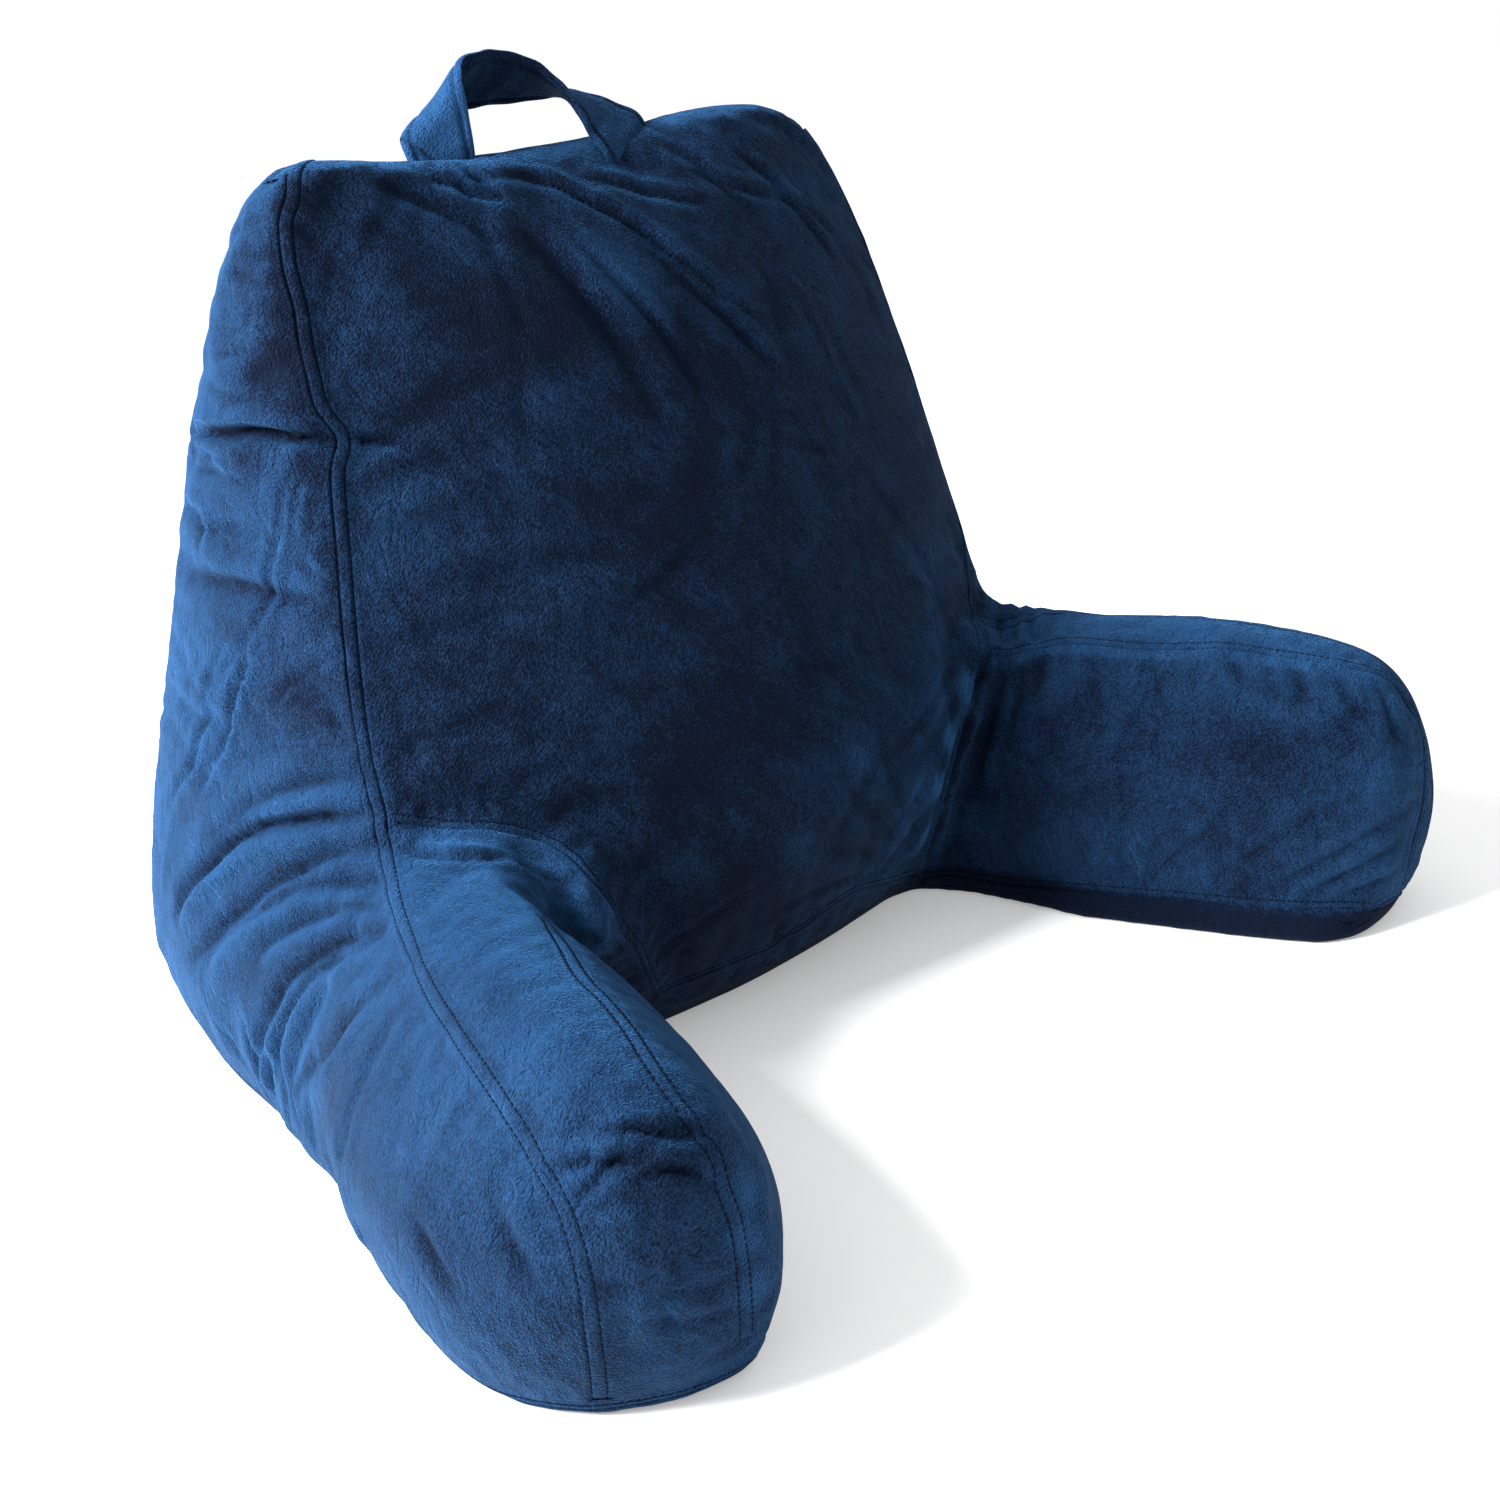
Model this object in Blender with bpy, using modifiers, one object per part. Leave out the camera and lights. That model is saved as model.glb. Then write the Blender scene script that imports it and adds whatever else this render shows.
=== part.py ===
# Reading pillow: a stuffed backrest with two splayed arms and a ribbon handle, sewn from velour.
# Metres, +Z up. The pillow stands on z = 0, its front faces -Y, and x = 0 is its middle.

import math

import bmesh
import bpy
import numpy as np
from mathutils import Vector

# Driving dimensions of the stuffed cover
arm_top = 0.158          # height of the arm's top seams
seat_half = 0.186        # half of the width between the arms, at the back
seat_y = -0.020          # where the arms' inner walls meet the front panel
subdivisions = 2
seam_crease = 0.45       # how sharp a sewn edge stays under the stuffing
gap = 0.0003             # between sewn pieces
rear_drop = 0.024        # the top gusset falls this far towards the rear seam
split_y = -0.034         # the arms start in front of this plane
split_x = 0.145          # and outside this one
base_middle_y = 0.110    # the base's mid-line, between its front and rear edges
base_middle_spread = 1.25    # the mid-line is this much wider than the top gusset's
cutter_reach = 0.7       # cutters run this far, well past the cover on every side
centre_shift = (-0.0070, 0.0005, 0.0)    # brings the middle of the whole pillow onto the origin

# Driving dimensions of the handle
strap_thickness = 0.005
strap_steps = 40         # points along the band
strap_columns = 4        # points across it

velour_navy = (0.018, 0.062, 0.155, 1.0)
velour_roughness = 0.85

# One row for each height of the back. The front and rear seams run down the two sides, the
# crowns are how far the panels bulge past them at the middle, and side_out is the gusset's bulge.
back_columns = ("z", "front_x", "front_y", "front_crown", "rear_x", "rear_y", "rear_crown", "side_out")
back_rows = [
    (-0.022, 0.150, 0.040, 0.014, 0.226, 0.232, 0.010, 0.014),
    (0.034, 0.170, 0.002, 0.032, 0.242, 0.266, 0.020, 0.022),
    (0.092, 0.182, -0.016, 0.042, 0.246, 0.260, 0.028, 0.026),
    (arm_top, seat_half, seat_y, 0.048, 0.242, 0.240, 0.030, 0.028),
    (0.236, 0.224, 0.024, 0.050, 0.224, 0.208, 0.030, 0.028),
    (0.322, 0.217, 0.048, 0.048, 0.208, 0.190, 0.028, 0.026),
    (0.408, 0.206, 0.072, 0.038, 0.192, 0.172, 0.022, 0.024),
    (0.494, 0.186, 0.094, 0.012, 0.166, 0.144, 0.008, 0.010),
]
arm_level = 3            # the row of the table at which the arms have their top
column_spread = {4: 0.56, 5: 0.25}    # rows whose columns fan out, just above the arms' corners
top_level = len(back_rows) - 1

# The outer root of an arm, at each height up to the arm's top: the side wall turns here from the
# back's gusset into the arm's outer wall. The last row is the corner of the front panel.
root_columns = ("x", "y")
corner_lift = 0.012      # the corner lies this much above the arm's top
root_rows = [(0.262, 0.064), (0.282, 0.054), (0.274, 0.034), (0.232, 0.008)]

# Cross-section of each arm at the same heights: how far its two walls lie outwards of the arm's
# line, which starts where the arm meets the front panel. The last row holds the two top seams.
wall_columns = ("inner", "outer")
wall_rows = {
    "arm_left": [(-0.024, 0.086), (-0.060, 0.112), (-0.066, 0.112), (-0.010, 0.056)],
    "arm_right": [(0.004, 0.104), (-0.022, 0.122), (-0.024, 0.112), (0.018, 0.074)],
}

# Steps along an arm: the share of its length, the rise of the top, and the walls' fullness.
step_columns = ("along", "rise", "full")
step_rows = [
    (0.00, 0.000, 1.00),
    (0.30, 0.008, 1.00),
    (0.62, 0.008, 1.00),
    (0.88, 0.000, 0.94),
    (1.07, -0.016, 0.80),
]

# The nose at the same heights: how far it is drawn in, and how far its two seams bulge apart
# past the top strip's width.
nose_columns = ("back", "bulge")
nose_rows = [(0.036, 0.004), (0.004, 0.012), (0.000, 0.012), (0.020, 0.000)]
nose_out = 0.014         # bulge of the nose past its two side seams
strip_crown = 0.012      # bulge of the top strip between its seams

# The two arms are not quite alike. A length runs along the arm from the back to the nose, and a
# lift is how much higher than arm_top the arm's top seams lie. A bend is how far the nose has
# swung inwards off the arm's line.
arm_columns = ("name", "sign", "splay", "length", "lift", "bend")
arm_rows = [
    ("arm_left", -1, math.radians(22.6), 0.254, -0.004, 0.022),
    ("arm_right", 1, math.radians(22.0), 0.242, 0.003, 0.004),
]

# The top dips at the handle and sags towards the right-hand corner: how far each of its columns
# lies above its row.
top_lift = {
    -4: 0.010, -3: 0.002, -2: -0.006,
    -1: -0.008, 0: -0.008, 1: -0.008,
    2: -0.002, 3: -0.002, 4: -0.014,
}

# The handle is a flat band. Each row is a station along it: x, y and z of the edge that ends up in
# front and on top, then of the edge that ends up behind and below.
strap_rows = [
    (-0.056, 0.096, 0.450, -0.092, 0.096, 0.450),
    (-0.056, 0.097, 0.478, -0.093, 0.101, 0.480),
    (-0.056, 0.098, 0.508, -0.091, 0.112, 0.500),
    (-0.054, 0.102, 0.532, -0.066, 0.124, 0.506),
    (-0.036, 0.106, 0.537, -0.044, 0.130, 0.507),
    (-0.018, 0.108, 0.534, -0.024, 0.132, 0.507),
    (-0.002, 0.106, 0.526, 0.002, 0.130, 0.506),
    (0.010, 0.102, 0.512, 0.026, 0.124, 0.505),
    (0.018, 0.099, 0.498, 0.046, 0.112, 0.500),
    (0.030, 0.097, 0.478, 0.062, 0.100, 0.488),
    (0.036, 0.096, 0.450, 0.072, 0.096, 0.450),
]


def rows_as_dicts(columns, rows):
    return [dict(zip(columns, row)) for row in rows]


def clear_scene():
    for item in list(bpy.data.objects):
        bpy.data.objects.remove(item, do_unlink=True)


def new_collection(name):
    collection = bpy.data.collections.new(name)
    bpy.context.scene.collection.children.link(collection)
    return collection


def velour_material(name):
    material = bpy.data.materials.new(name)
    material.use_nodes = True
    shader = material.node_tree.nodes["Principled BSDF"]
    shader.inputs["Base Color"].default_value = velour_navy
    shader.inputs["Roughness"].default_value = velour_roughness
    shader.inputs["Metallic"].default_value = 0.0
    return material


def back_points():
    """The back's own cage points: front and rear panels, gusset mid-line, for both sides."""
    rows = rows_as_dicts(back_columns, back_rows)
    roots = rows_as_dicts(root_columns, root_rows)
    points = {}
    for level, row in enumerate(rows):
        for column in range(-4, 5):
            sign = 1 if column >= 0 else -1
            share = abs(column) / 4
            # Below the arms' top the front panel reaches only to the valley, at column 2.
            if level < arm_level:
                front_share = min(abs(column) / 2, 1.0)
                front_x = row["front_x"] * front_share
                front_y = row["front_y"] - row["front_crown"] * (1 - front_share ** 2)
            elif level == arm_level:
                corner = roots[arm_level]
                front_share = min(abs(column) / 2, 1.0)
                past = max(abs(column) / 2 - 1, 0.0)
                front_x = row["front_x"] * front_share + (corner["x"] - row["front_x"]) * past
                front_y = row["front_y"] - row["front_crown"] * (1 - front_share ** 2)
                front_y += (corner["y"] - row["front_y"]) * past
            else:
                front_share = share + column_spread.get(level, 0.0) * share * (1 - share)
                front_x = row["front_x"] * front_share
                front_y = row["front_y"] - row["front_crown"] * (1 - front_share ** 2)
            lift = corner_lift * past if level == arm_level else 0.0
            if level >= arm_level or abs(column) <= 2:
                points["front", column, level] = (sign * front_x, front_y, row["z"] + lift)
            rear_y = row["rear_y"] + row["rear_crown"] * (1 - share ** 2)
            drop = rear_drop if level == top_level else 0.0
            points["rear", column, level] = (sign * row["rear_x"] * share, rear_y, row["z"] - drop)
        for sign in (-1, 1):
            if level <= arm_level:
                front_x, front_y = roots[level]["x"], roots[level]["y"]
            else:
                front_x, front_y = row["front_x"], row["front_y"]
            middle_x = (front_x + row["rear_x"]) / 2 + row["side_out"]
            middle_y = (front_y + row["rear_y"]) / 2
            points["gusset", 4 * sign, level] = (sign * middle_x, middle_y, row["z"])
    top, base = rows[top_level], rows[0]
    for column in range(-3, 4):
        share = abs(column) / 4
        sign = 1 if column >= 0 else -1
        middle_x = sign * (top["front_x"] + top["rear_x"]) / 2 * share
        middle_y = (top["front_y"] + top["rear_y"]) / 2
        points["gusset", column, top_level] = (middle_x, middle_y, top["z"])
        points["gusset", column, 0] = (middle_x * base_middle_spread, base_middle_y, base["z"])
    for column, lift in top_lift.items():
        for panel in ("front", "gusset", "rear"):
            x, y, z = points[panel, column, top_level]
            points[panel, column, top_level] = (x, y, z + lift)
    return points


def arm_points(side):
    """An arm's cage points, keyed by its side's sign, the step along it, the height and the wall."""
    heights = [row[0] for row in back_rows[: arm_level + 1]]
    walls = rows_as_dicts(wall_columns, wall_rows[side["name"]])
    noses = rows_as_dicts(nose_columns, nose_rows)
    steps = rows_as_dicts(step_columns, step_rows)
    roots = rows_as_dicts(root_columns, root_rows)
    back = rows_as_dicts(back_columns, back_rows)
    along = Vector((math.sin(side["splay"]), -math.cos(side["splay"])))
    outward = Vector((math.cos(side["splay"]), math.sin(side["splay"])))
    start = Vector((seat_half, seat_y))
    points = {}
    for step, row in enumerate(steps):
        for level, height in enumerate(heights):
            wall = walls[level]
            if step == 0:
                inner = Vector((back[level]["front_x"], back[level]["front_y"]))
                outer = Vector((roots[level]["x"], roots[level]["y"]))
                middle = (inner + outer) / 2
            else:
                spine = start + along * (side["length"] * row["along"])
                spine = spine - outward * (side["bend"] * row["along"] ** 3)
                centre = sum(walls[arm_level].values()) / 2
                inner = spine + outward * (centre + (wall["inner"] - centre) * row["full"])
                outer = spine + outward * (centre + (wall["outer"] - centre) * row["full"])
                middle = (inner + outer) / 2
            lift = row["rise"] + side["lift"] if level == arm_level and step > 0 else 0.0
            if step == len(steps) - 1:
                nose = noses[level]
                end = spine - along * nose["back"]
                inner = end + outward * (walls[arm_level]["inner"] - nose["bulge"])
                outer = end + outward * (walls[arm_level]["outer"] + nose["bulge"])
                middle = (inner + outer) / 2 + along * nose_out
            crown = strip_crown if level == arm_level and step > 0 else 0.0
            raised = (("inner", inner, 0.0), ("middle", middle, crown), ("outer", outer, 0.0))
            for wall_name, place, extra in raised:
                key = ("arm", side["sign"], step, level, wall_name)
                points[key] = (side["sign"] * place.x, place.y, height + lift + extra)
    return points


def shared_key(key):
    """An arm's first step is the back's own valley, corner and root points."""
    if key[0] != "arm" or key[2] != 0:
        return key
    sign, level, wall = key[1], key[3], key[4]
    if wall == "inner":
        return ("front", 2 * sign, level)
    if wall == "middle" and level == arm_level:
        return ("front", 3 * sign, level)
    if wall == "outer" and level == arm_level:
        return ("front", 4 * sign, level)
    return key


def grid_faces(grid):
    faces = []
    for upper, lower in zip(grid, grid[1:]):
        for a, b, c, d in zip(upper, upper[1:], lower[1:], lower):
            faces.append((a, b, c, d))
    return faces


def cover_grids():
    """Every panel of the cover as a grid of point keys; panels share their seams' keys."""
    columns = range(-4, 5)
    levels = range(top_level + 1)
    grids = []
    grids.append([[("front", c, lv) for c in range(-2, 3)] for lv in range(arm_level + 1)])
    grids.append([[("front", c, lv) for c in columns] for lv in range(arm_level, top_level + 1)])
    grids.append([[("rear", c, lv) for c in columns] for lv in levels])
    rows = []
    rows.append([("front", c, top_level) for c in columns])
    rows.append([("gusset", c, top_level) for c in columns])
    rows.append([("rear", c, top_level) for c in columns])
    grids.append(rows)
    for sign in (-1, 1):
        side_rows = []
        for level in levels:
            if level < arm_level:
                front = ("arm", sign, 0, level, "outer")
            else:
                front = ("front", 4 * sign, level)
            side_rows.append([front, ("gusset", 4 * sign, level), ("rear", 4 * sign, level)])
        grids.append(side_rows)
        steps = range(len(step_rows))
        for wall in ("inner", "outer"):
            grids.append([[("arm", sign, st, lv, wall) for st in steps] for lv in range(arm_level + 1)])
        walls = ("inner", "middle", "outer")
        for level in (0, arm_level):
            grids.append([[("arm", sign, st, level, wall) for st in steps] for wall in walls])
        nose = len(step_rows) - 1
        grids.append([[("arm", sign, nose, lv, wall) for wall in walls] for lv in range(arm_level + 1)])
    base_front = [("arm", -1, 0, 0, "outer"), ("arm", -1, 0, 0, "middle")]
    base_front += [("front", c, 0) for c in range(-2, 3)]
    base_front += [("arm", 1, 0, 0, "middle"), ("arm", 1, 0, 0, "outer")]
    grids.append([base_front, [("gusset", c, 0) for c in columns], [("rear", c, 0) for c in columns]])
    return grids


def seam_pairs():
    """Cage edges that are sewn, so that they stay a soft ridge under the stuffing."""
    runs = []
    nose = len(step_rows) - 1
    runs.append([("front", c, top_level) for c in range(-4, 5)])
    runs.append([("rear", c, top_level) for c in range(-4, 5)])
    for sign in (-1, 1):
        runs.append([("front", 4 * sign, lv) for lv in range(arm_level, top_level + 1)])
        runs.append([("rear", 4 * sign, lv) for lv in range(top_level + 1)])
        runs.append([("front", 2 * sign, lv) for lv in range(arm_level + 1)])
        runs.append([("front", c * sign, arm_level) for c in range(2, 5)])
        for wall in ("inner", "outer"):
            runs.append([("arm", sign, st, arm_level, wall) for st in range(nose + 1)])
            runs.append([("arm", sign, nose, lv, wall) for lv in range(arm_level + 1)])
    return [(shared_key(a), shared_key(b)) for run in runs for a, b in zip(run, run[1:])]


def cover_mesh():
    """The coarse cage of the whole stuffed cover, with its faces turned outwards."""
    points = back_points()
    for side in rows_as_dicts(arm_columns, arm_rows):
        points.update(arm_points(side))
    names, faces = {}, []
    for grid in cover_grids():
        for face in grid_faces(grid):
            keys = [shared_key(key) for key in face]
            faces.append([names.setdefault(key, len(names)) for key in keys])
    mesh = bpy.data.meshes.new("cover_cage")
    mesh.from_pydata([points[key] for key in names], [], faces)
    shape = bmesh.new()
    shape.from_mesh(mesh)
    shape.verts.ensure_lookup_table()
    crease = shape.edges.layers.float.new("crease_edge")
    for first, second in seam_pairs():
        edge = shape.edges.get((shape.verts[names[first]], shape.verts[names[second]]))
        edge[crease] = seam_crease
    bmesh.ops.recalc_face_normals(shape, faces=shape.faces)
    shape.to_mesh(mesh)
    shape.free()
    mesh.shade_smooth()
    return mesh


def box_cutter(name, low, high, collection):
    bpy.ops.mesh.primitive_cube_add(size=1.0)
    cutter = bpy.context.object
    cutter.name = name
    corners = np.array([low, high])
    cutter.location = corners.mean(axis=0)
    cutter.scale = corners[1] - corners[0]
    cutter.hide_render = True
    cutter.display_type = "WIRE"
    for owner in list(cutter.users_collection):
        owner.objects.unlink(cutter)
    collection.objects.link(cutter)
    return cutter


def cut(item, cutter, operation):
    step = item.modifiers.new(cutter.name, "BOOLEAN")
    step.operation = operation
    step.object = cutter
    step.solver = "EXACT"


def stuffed_object(name, mesh, collection):
    item = bpy.data.objects.new(name, mesh)
    collection.objects.link(item)
    smooth = item.modifiers.new("stuffing", "SUBSURF")
    smooth.levels = subdivisions
    smooth.render_levels = subdivisions
    return item


def catmull_rom(rows, steps):
    """A smooth curve through the rows, read at even shares from the first to the last."""
    padded = np.vstack([rows[:1], rows, rows[-1:]])
    place = np.linspace(0, len(rows) - 1, steps)
    index = np.minimum(place.astype(int), len(rows) - 2)
    t = (place - index)[:, None]
    p0, p1, p2, p3 = (padded[index + k] for k in range(4))
    return 0.5 * (2 * p1 + (p2 - p0) * t + (2 * p0 - 5 * p1 + 4 * p2 - p3) * t ** 2
                  + (3 * p1 - p0 - 3 * p2 + p3) * t ** 3)


def handle_object(collection):
    """The band as a surface between its two edges, given its thickness by Solidify."""
    edges = catmull_rom(np.array(strap_rows), strap_steps)
    front, back = edges[:, :3], edges[:, 3:]
    across = np.linspace(0.0, 1.0, strap_columns)
    points = (front[:, None, :] * (1 - across)[None, :, None] + back[:, None, :] * across[None, :, None])
    width = len(across)
    faces = []
    for row in range(strap_steps - 1):
        for column in range(width - 1):
            start = row * width + column
            faces.append((start, start + 1, start + width + 1, start + width))
    mesh = bpy.data.meshes.new("handle_strap")
    mesh.from_pydata(points.reshape(-1, 3).tolist(), [], faces)
    mesh.shade_smooth()
    item = bpy.data.objects.new("handle_strap", mesh)
    collection.objects.link(item)
    wall = item.modifiers.new("double_cloth", "SOLIDIFY")
    wall.thickness = strap_thickness
    wall.offset = 0.0
    return item


def grown_copy(item, name, collection):
    """The item a hair larger all round, to leave the gap where another piece is sewn on it."""
    graph = bpy.context.evaluated_depsgraph_get()
    mesh = bpy.data.meshes.new_from_object(item.evaluated_get(graph))
    mesh.materials.clear()
    cutter = bpy.data.objects.new(name, mesh)
    collection.objects.link(cutter)
    swell = cutter.modifiers.new("gap", "DISPLACE")
    swell.strength = gap
    swell.mid_level = 0.0
    cutter.hide_render = True
    cutter.display_type = "WIRE"
    return cutter


def main():
    clear_scene()
    parts = new_collection("reading_pillow")
    cutters = new_collection("cutters")
    mesh = cover_mesh()
    reach = cutter_reach
    floor = box_cutter("below_floor", (-reach, -reach, -reach), (reach, reach, 0.0), cutters)
    back = stuffed_object("back_cushion", mesh, parts)
    cut(back, floor, "DIFFERENCE")
    for side in rows_as_dicts(arm_columns, arm_rows):
        near, far = sorted((side["sign"] * split_x, side["sign"] * reach))
        region = box_cutter(side["name"] + "_region", (near, -reach, 0.0), (far, split_y, reach), cutters)
        near, far = sorted((side["sign"] * (split_x - gap), side["sign"] * (reach + gap)))
        room_low, room_high = (near, -reach - gap, -reach), (far, split_y + gap, reach + gap)
        room = box_cutter(side["name"] + "_room", room_low, room_high, cutters)
        arm = stuffed_object(side["name"], mesh, parts)
        cut(arm, region, "INTERSECT")
        cut(back, room, "DIFFERENCE")
    bpy.context.view_layer.update()
    sewn_top = grown_copy(back, "back_with_gap", cutters)
    handle = handle_object(parts)
    cut(handle, sewn_top, "DIFFERENCE")
    for item in parts.objects:
        item.data = item.data.copy()
        item.data.materials.clear()
        item.data.materials.append(velour_material(item.name + "_velour"))
    for item in list(parts.objects) + list(cutters.objects):
        item.location = item.location + Vector(centre_shift)
    bpy.context.view_layer.update()


main()
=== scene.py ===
import math

import bmesh
import bpy
import numpy as np
from mathutils import Matrix, Vector
from mathutils.bvhtree import BVHTree
from mathutils.kdtree import KDTree


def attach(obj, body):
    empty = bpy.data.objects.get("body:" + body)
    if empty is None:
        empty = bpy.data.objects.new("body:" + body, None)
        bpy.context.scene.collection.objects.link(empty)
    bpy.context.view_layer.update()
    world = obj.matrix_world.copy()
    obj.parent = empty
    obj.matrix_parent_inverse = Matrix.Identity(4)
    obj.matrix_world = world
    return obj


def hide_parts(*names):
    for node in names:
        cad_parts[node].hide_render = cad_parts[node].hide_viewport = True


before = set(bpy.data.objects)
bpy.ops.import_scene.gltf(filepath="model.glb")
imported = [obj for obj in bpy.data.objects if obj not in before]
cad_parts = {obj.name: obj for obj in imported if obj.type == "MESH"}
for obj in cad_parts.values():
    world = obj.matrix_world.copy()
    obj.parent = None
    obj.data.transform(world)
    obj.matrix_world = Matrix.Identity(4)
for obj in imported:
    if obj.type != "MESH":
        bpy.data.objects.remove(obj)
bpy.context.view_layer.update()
rng = np.random.default_rng(41)

# The camera that the photograph was taken with, in the part's frame: metres and degrees.
cameraSetup = {"place": (-0.7575, -0.8900, 0.6091), "yaw": 41.101, "pitch": 22.704, "roll": -4.992,
               "focalPixels": 2200.0, "centre": (772.2, 799.5), "photoSide": 1500.0, "sensor": 36.0}


def cameraAxes():
    # forward from yaw and pitch, then right and up turned about it by the roll
    yaw, pitch, roll = (math.radians(cameraSetup[k]) for k in ("yaw", "pitch", "roll"))
    forward = np.array([math.sin(yaw) * math.cos(pitch), math.cos(yaw) * math.cos(pitch), -math.sin(pitch)])
    level = np.array([math.cos(yaw), -math.sin(yaw), 0.0])
    upright = np.cross(level, forward)
    right = math.cos(roll) * level + math.sin(roll) * upright
    up = -math.sin(roll) * level + math.cos(roll) * upright
    return right, up, forward


def addObject(name, data):
    item = bpy.data.objects.new(name, data)
    bpy.context.scene.collection.objects.link(item)
    return item


def makeCamera():
    right, up, forward = cameraAxes()
    camera = addObject("photoCamera", bpy.data.cameras.new("photoCamera"))
    turned = Matrix([[right[i], up[i], -forward[i]] for i in range(3)]).to_4x4()
    camera.matrix_world = Matrix.Translation(cameraSetup["place"]) @ turned
    side = cameraSetup["photoSide"]
    camera.data.sensor_width = cameraSetup["sensor"]
    camera.data.lens = cameraSetup["focalPixels"] / side * cameraSetup["sensor"]
    camera.data.shift_x = (side / 2 - cameraSetup["centre"][0]) / side
    camera.data.shift_y = (cameraSetup["centre"][1] - side / 2) / side
    camera.data.clip_start, camera.data.clip_end = 0.05, 50.0
    bpy.context.scene.camera = camera


makeCamera()
print("camera in place")


def meshArrays(mesh):
    points = np.empty(len(mesh.vertices) * 3, np.float64)
    normals = np.empty_like(points)
    mesh.vertices.foreach_get("co", points)
    mesh.vertices.foreach_get("normal", normals)
    return points.reshape(-1, 3), normals.reshape(-1, 3)


def setPoints(mesh, points):
    mesh.vertices.foreach_set("co", np.ascontiguousarray(points, np.float32).ravel())
    mesh.update()


def applyModifiers(item):
    graph = bpy.context.evaluated_depsgraph_get()
    made = bpy.data.meshes.new_from_object(item.evaluated_get(graph))
    item.modifiers.clear()
    old = item.data
    item.data = made
    bpy.data.meshes.remove(old)


def nearest(points, samples):
    # index and distance of the closest sample to every point, by |p|^2 - 2 p.s + |s|^2
    table = (points ** 2).sum(1)[:, None] - 2 * points @ samples.T + (samples ** 2).sum(1)[None, :]
    index = table.argmin(1)
    return index, np.sqrt(np.maximum(table[np.arange(len(points)), index], 0))


def nearestOfMany(points, samples):
    tree = KDTree(len(samples))
    for i, sample in enumerate(samples):
        tree.insert(sample, i)
    tree.balance()
    found = [tree.find(p) for p in points]
    return np.array([f[1] for f in found]), np.array([f[2] for f in found])


def spread(mesh, values, times):
    # evens a value out over the mesh: each time, half itself and half its neighbours' mean
    edges = np.empty(len(mesh.edges) * 2, np.int64)
    mesh.edges.foreach_get("vertices", edges)
    a, b = edges.reshape(-1, 2).T
    count = np.bincount(a, minlength=len(values)) + np.bincount(b, minlength=len(values))
    for _ in range(times):
        total = np.bincount(a, values[b], len(values)) + np.bincount(b, values[a], len(values))
        values = 0.5 * values + 0.5 * total / np.maximum(count, 1)
    return values


def unit(vectors):
    return vectors / np.linalg.norm(vectors, axis=-1, keepdims=True)


def ramp(values, start, length):
    # 0 up to start, 1 from start + length on
    return np.clip((values - start) / length, 0, 1)


def gridFaces(rows, columns, closed=False):
    # quads of a rows x columns grid, the last column joined to the first where it is closed
    r = np.arange(rows - 1)[:, None]
    c = np.arange(columns if closed else columns - 1)[None, :]
    d = (c + 1) % columns
    return np.stack([r * columns + c, r * columns + d, (r + 1) * columns + d, (r + 1) * columns + c],
                    axis=-1).reshape(-1, 4)


def makeMesh(name, points, faces):
    mesh = bpy.data.meshes.new(name)
    mesh.from_pydata(np.asarray(points).tolist(), [], np.asarray(faces).tolist())
    mesh.update()
    mesh.polygons.foreach_set("use_smooth", np.ones(len(mesh.polygons), bool))
    return addObject(name, mesh)


# The stuffed cover: one skin over the back and both arms, puffed by a cloth simulation that is held
# along the seams and on the floor.
coverSetup = {"voxel": 0.0056, "smooth": 5, "frames": 20, "cap": 0.006, "floorBand": 0.012, "pinReach": 0.006,
              "evenOut": 60, "keepSwell": 0.3, "keepPucker": 0.9}


def joinedSkin():
    joined = bmesh.new()
    for name in ("back_cushion", "arm_left", "arm_right"):
        joined.from_mesh(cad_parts[name].data)
    bmesh.ops.remove_doubles(joined, verts=joined.verts, dist=0.00001)
    mesh = bpy.data.meshes.new("coverSkin")
    joined.to_mesh(mesh)
    joined.free()
    skin = addObject("coverSkin", mesh)
    remesh = skin.modifiers.new("even", "REMESH")
    remesh.mode = "VOXEL"
    remesh.voxel_size = coverSetup["voxel"]
    smooth = skin.modifiers.new("smooth", "SMOOTH")
    smooth.factor = 0.5
    smooth.iterations = coverSetup["smooth"]
    applyModifiers(skin)
    return skin


skin = joinedSkin()
print("skin joined:", len(skin.data.vertices), "points")


# Paths on the skin. A path that shows is given by its pixels in the photograph and cast through the
# camera; a hidden one is given in metres and dropped on the nearest place of the skin.
class Surface:
    def __init__(self, item):
        self.points, self.normals = meshArrays(item.data)
        self.tree = BVHTree.FromPolygons([Vector(p) for p in self.points],
                                         [tuple(f.vertices) for f in item.data.polygons])

    def cast(self, pixels):
        right, up, forward = cameraAxes()
        place = Vector(cameraSetup["place"])
        cx, cy = cameraSetup["centre"]
        found = []
        for u, v in pixels:
            ray = forward + (u - cx) / cameraSetup["focalPixels"] * right
            ray = ray - (v - cy) / cameraSetup["focalPixels"] * up
            ray = Vector(ray).normalized()
            hit = self.tree.ray_cast(place, ray)[0]
            if hit is None:
                # just outside the outline: the nearest place to the ray, searched along it
                steps = [place + ray * t for t in np.linspace(0.8, 1.9, 111)]
                near = min((self.tree.find_nearest(s) for s in steps), key=lambda n: n[3])
                hit = near[0]
            found.append(hit)
        return np.array(found)

    def drop(self, points):
        hits = [self.tree.find_nearest(p) for p in points]
        return np.array([h[0] for h in hits]), np.array([h[1] for h in hits])


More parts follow.
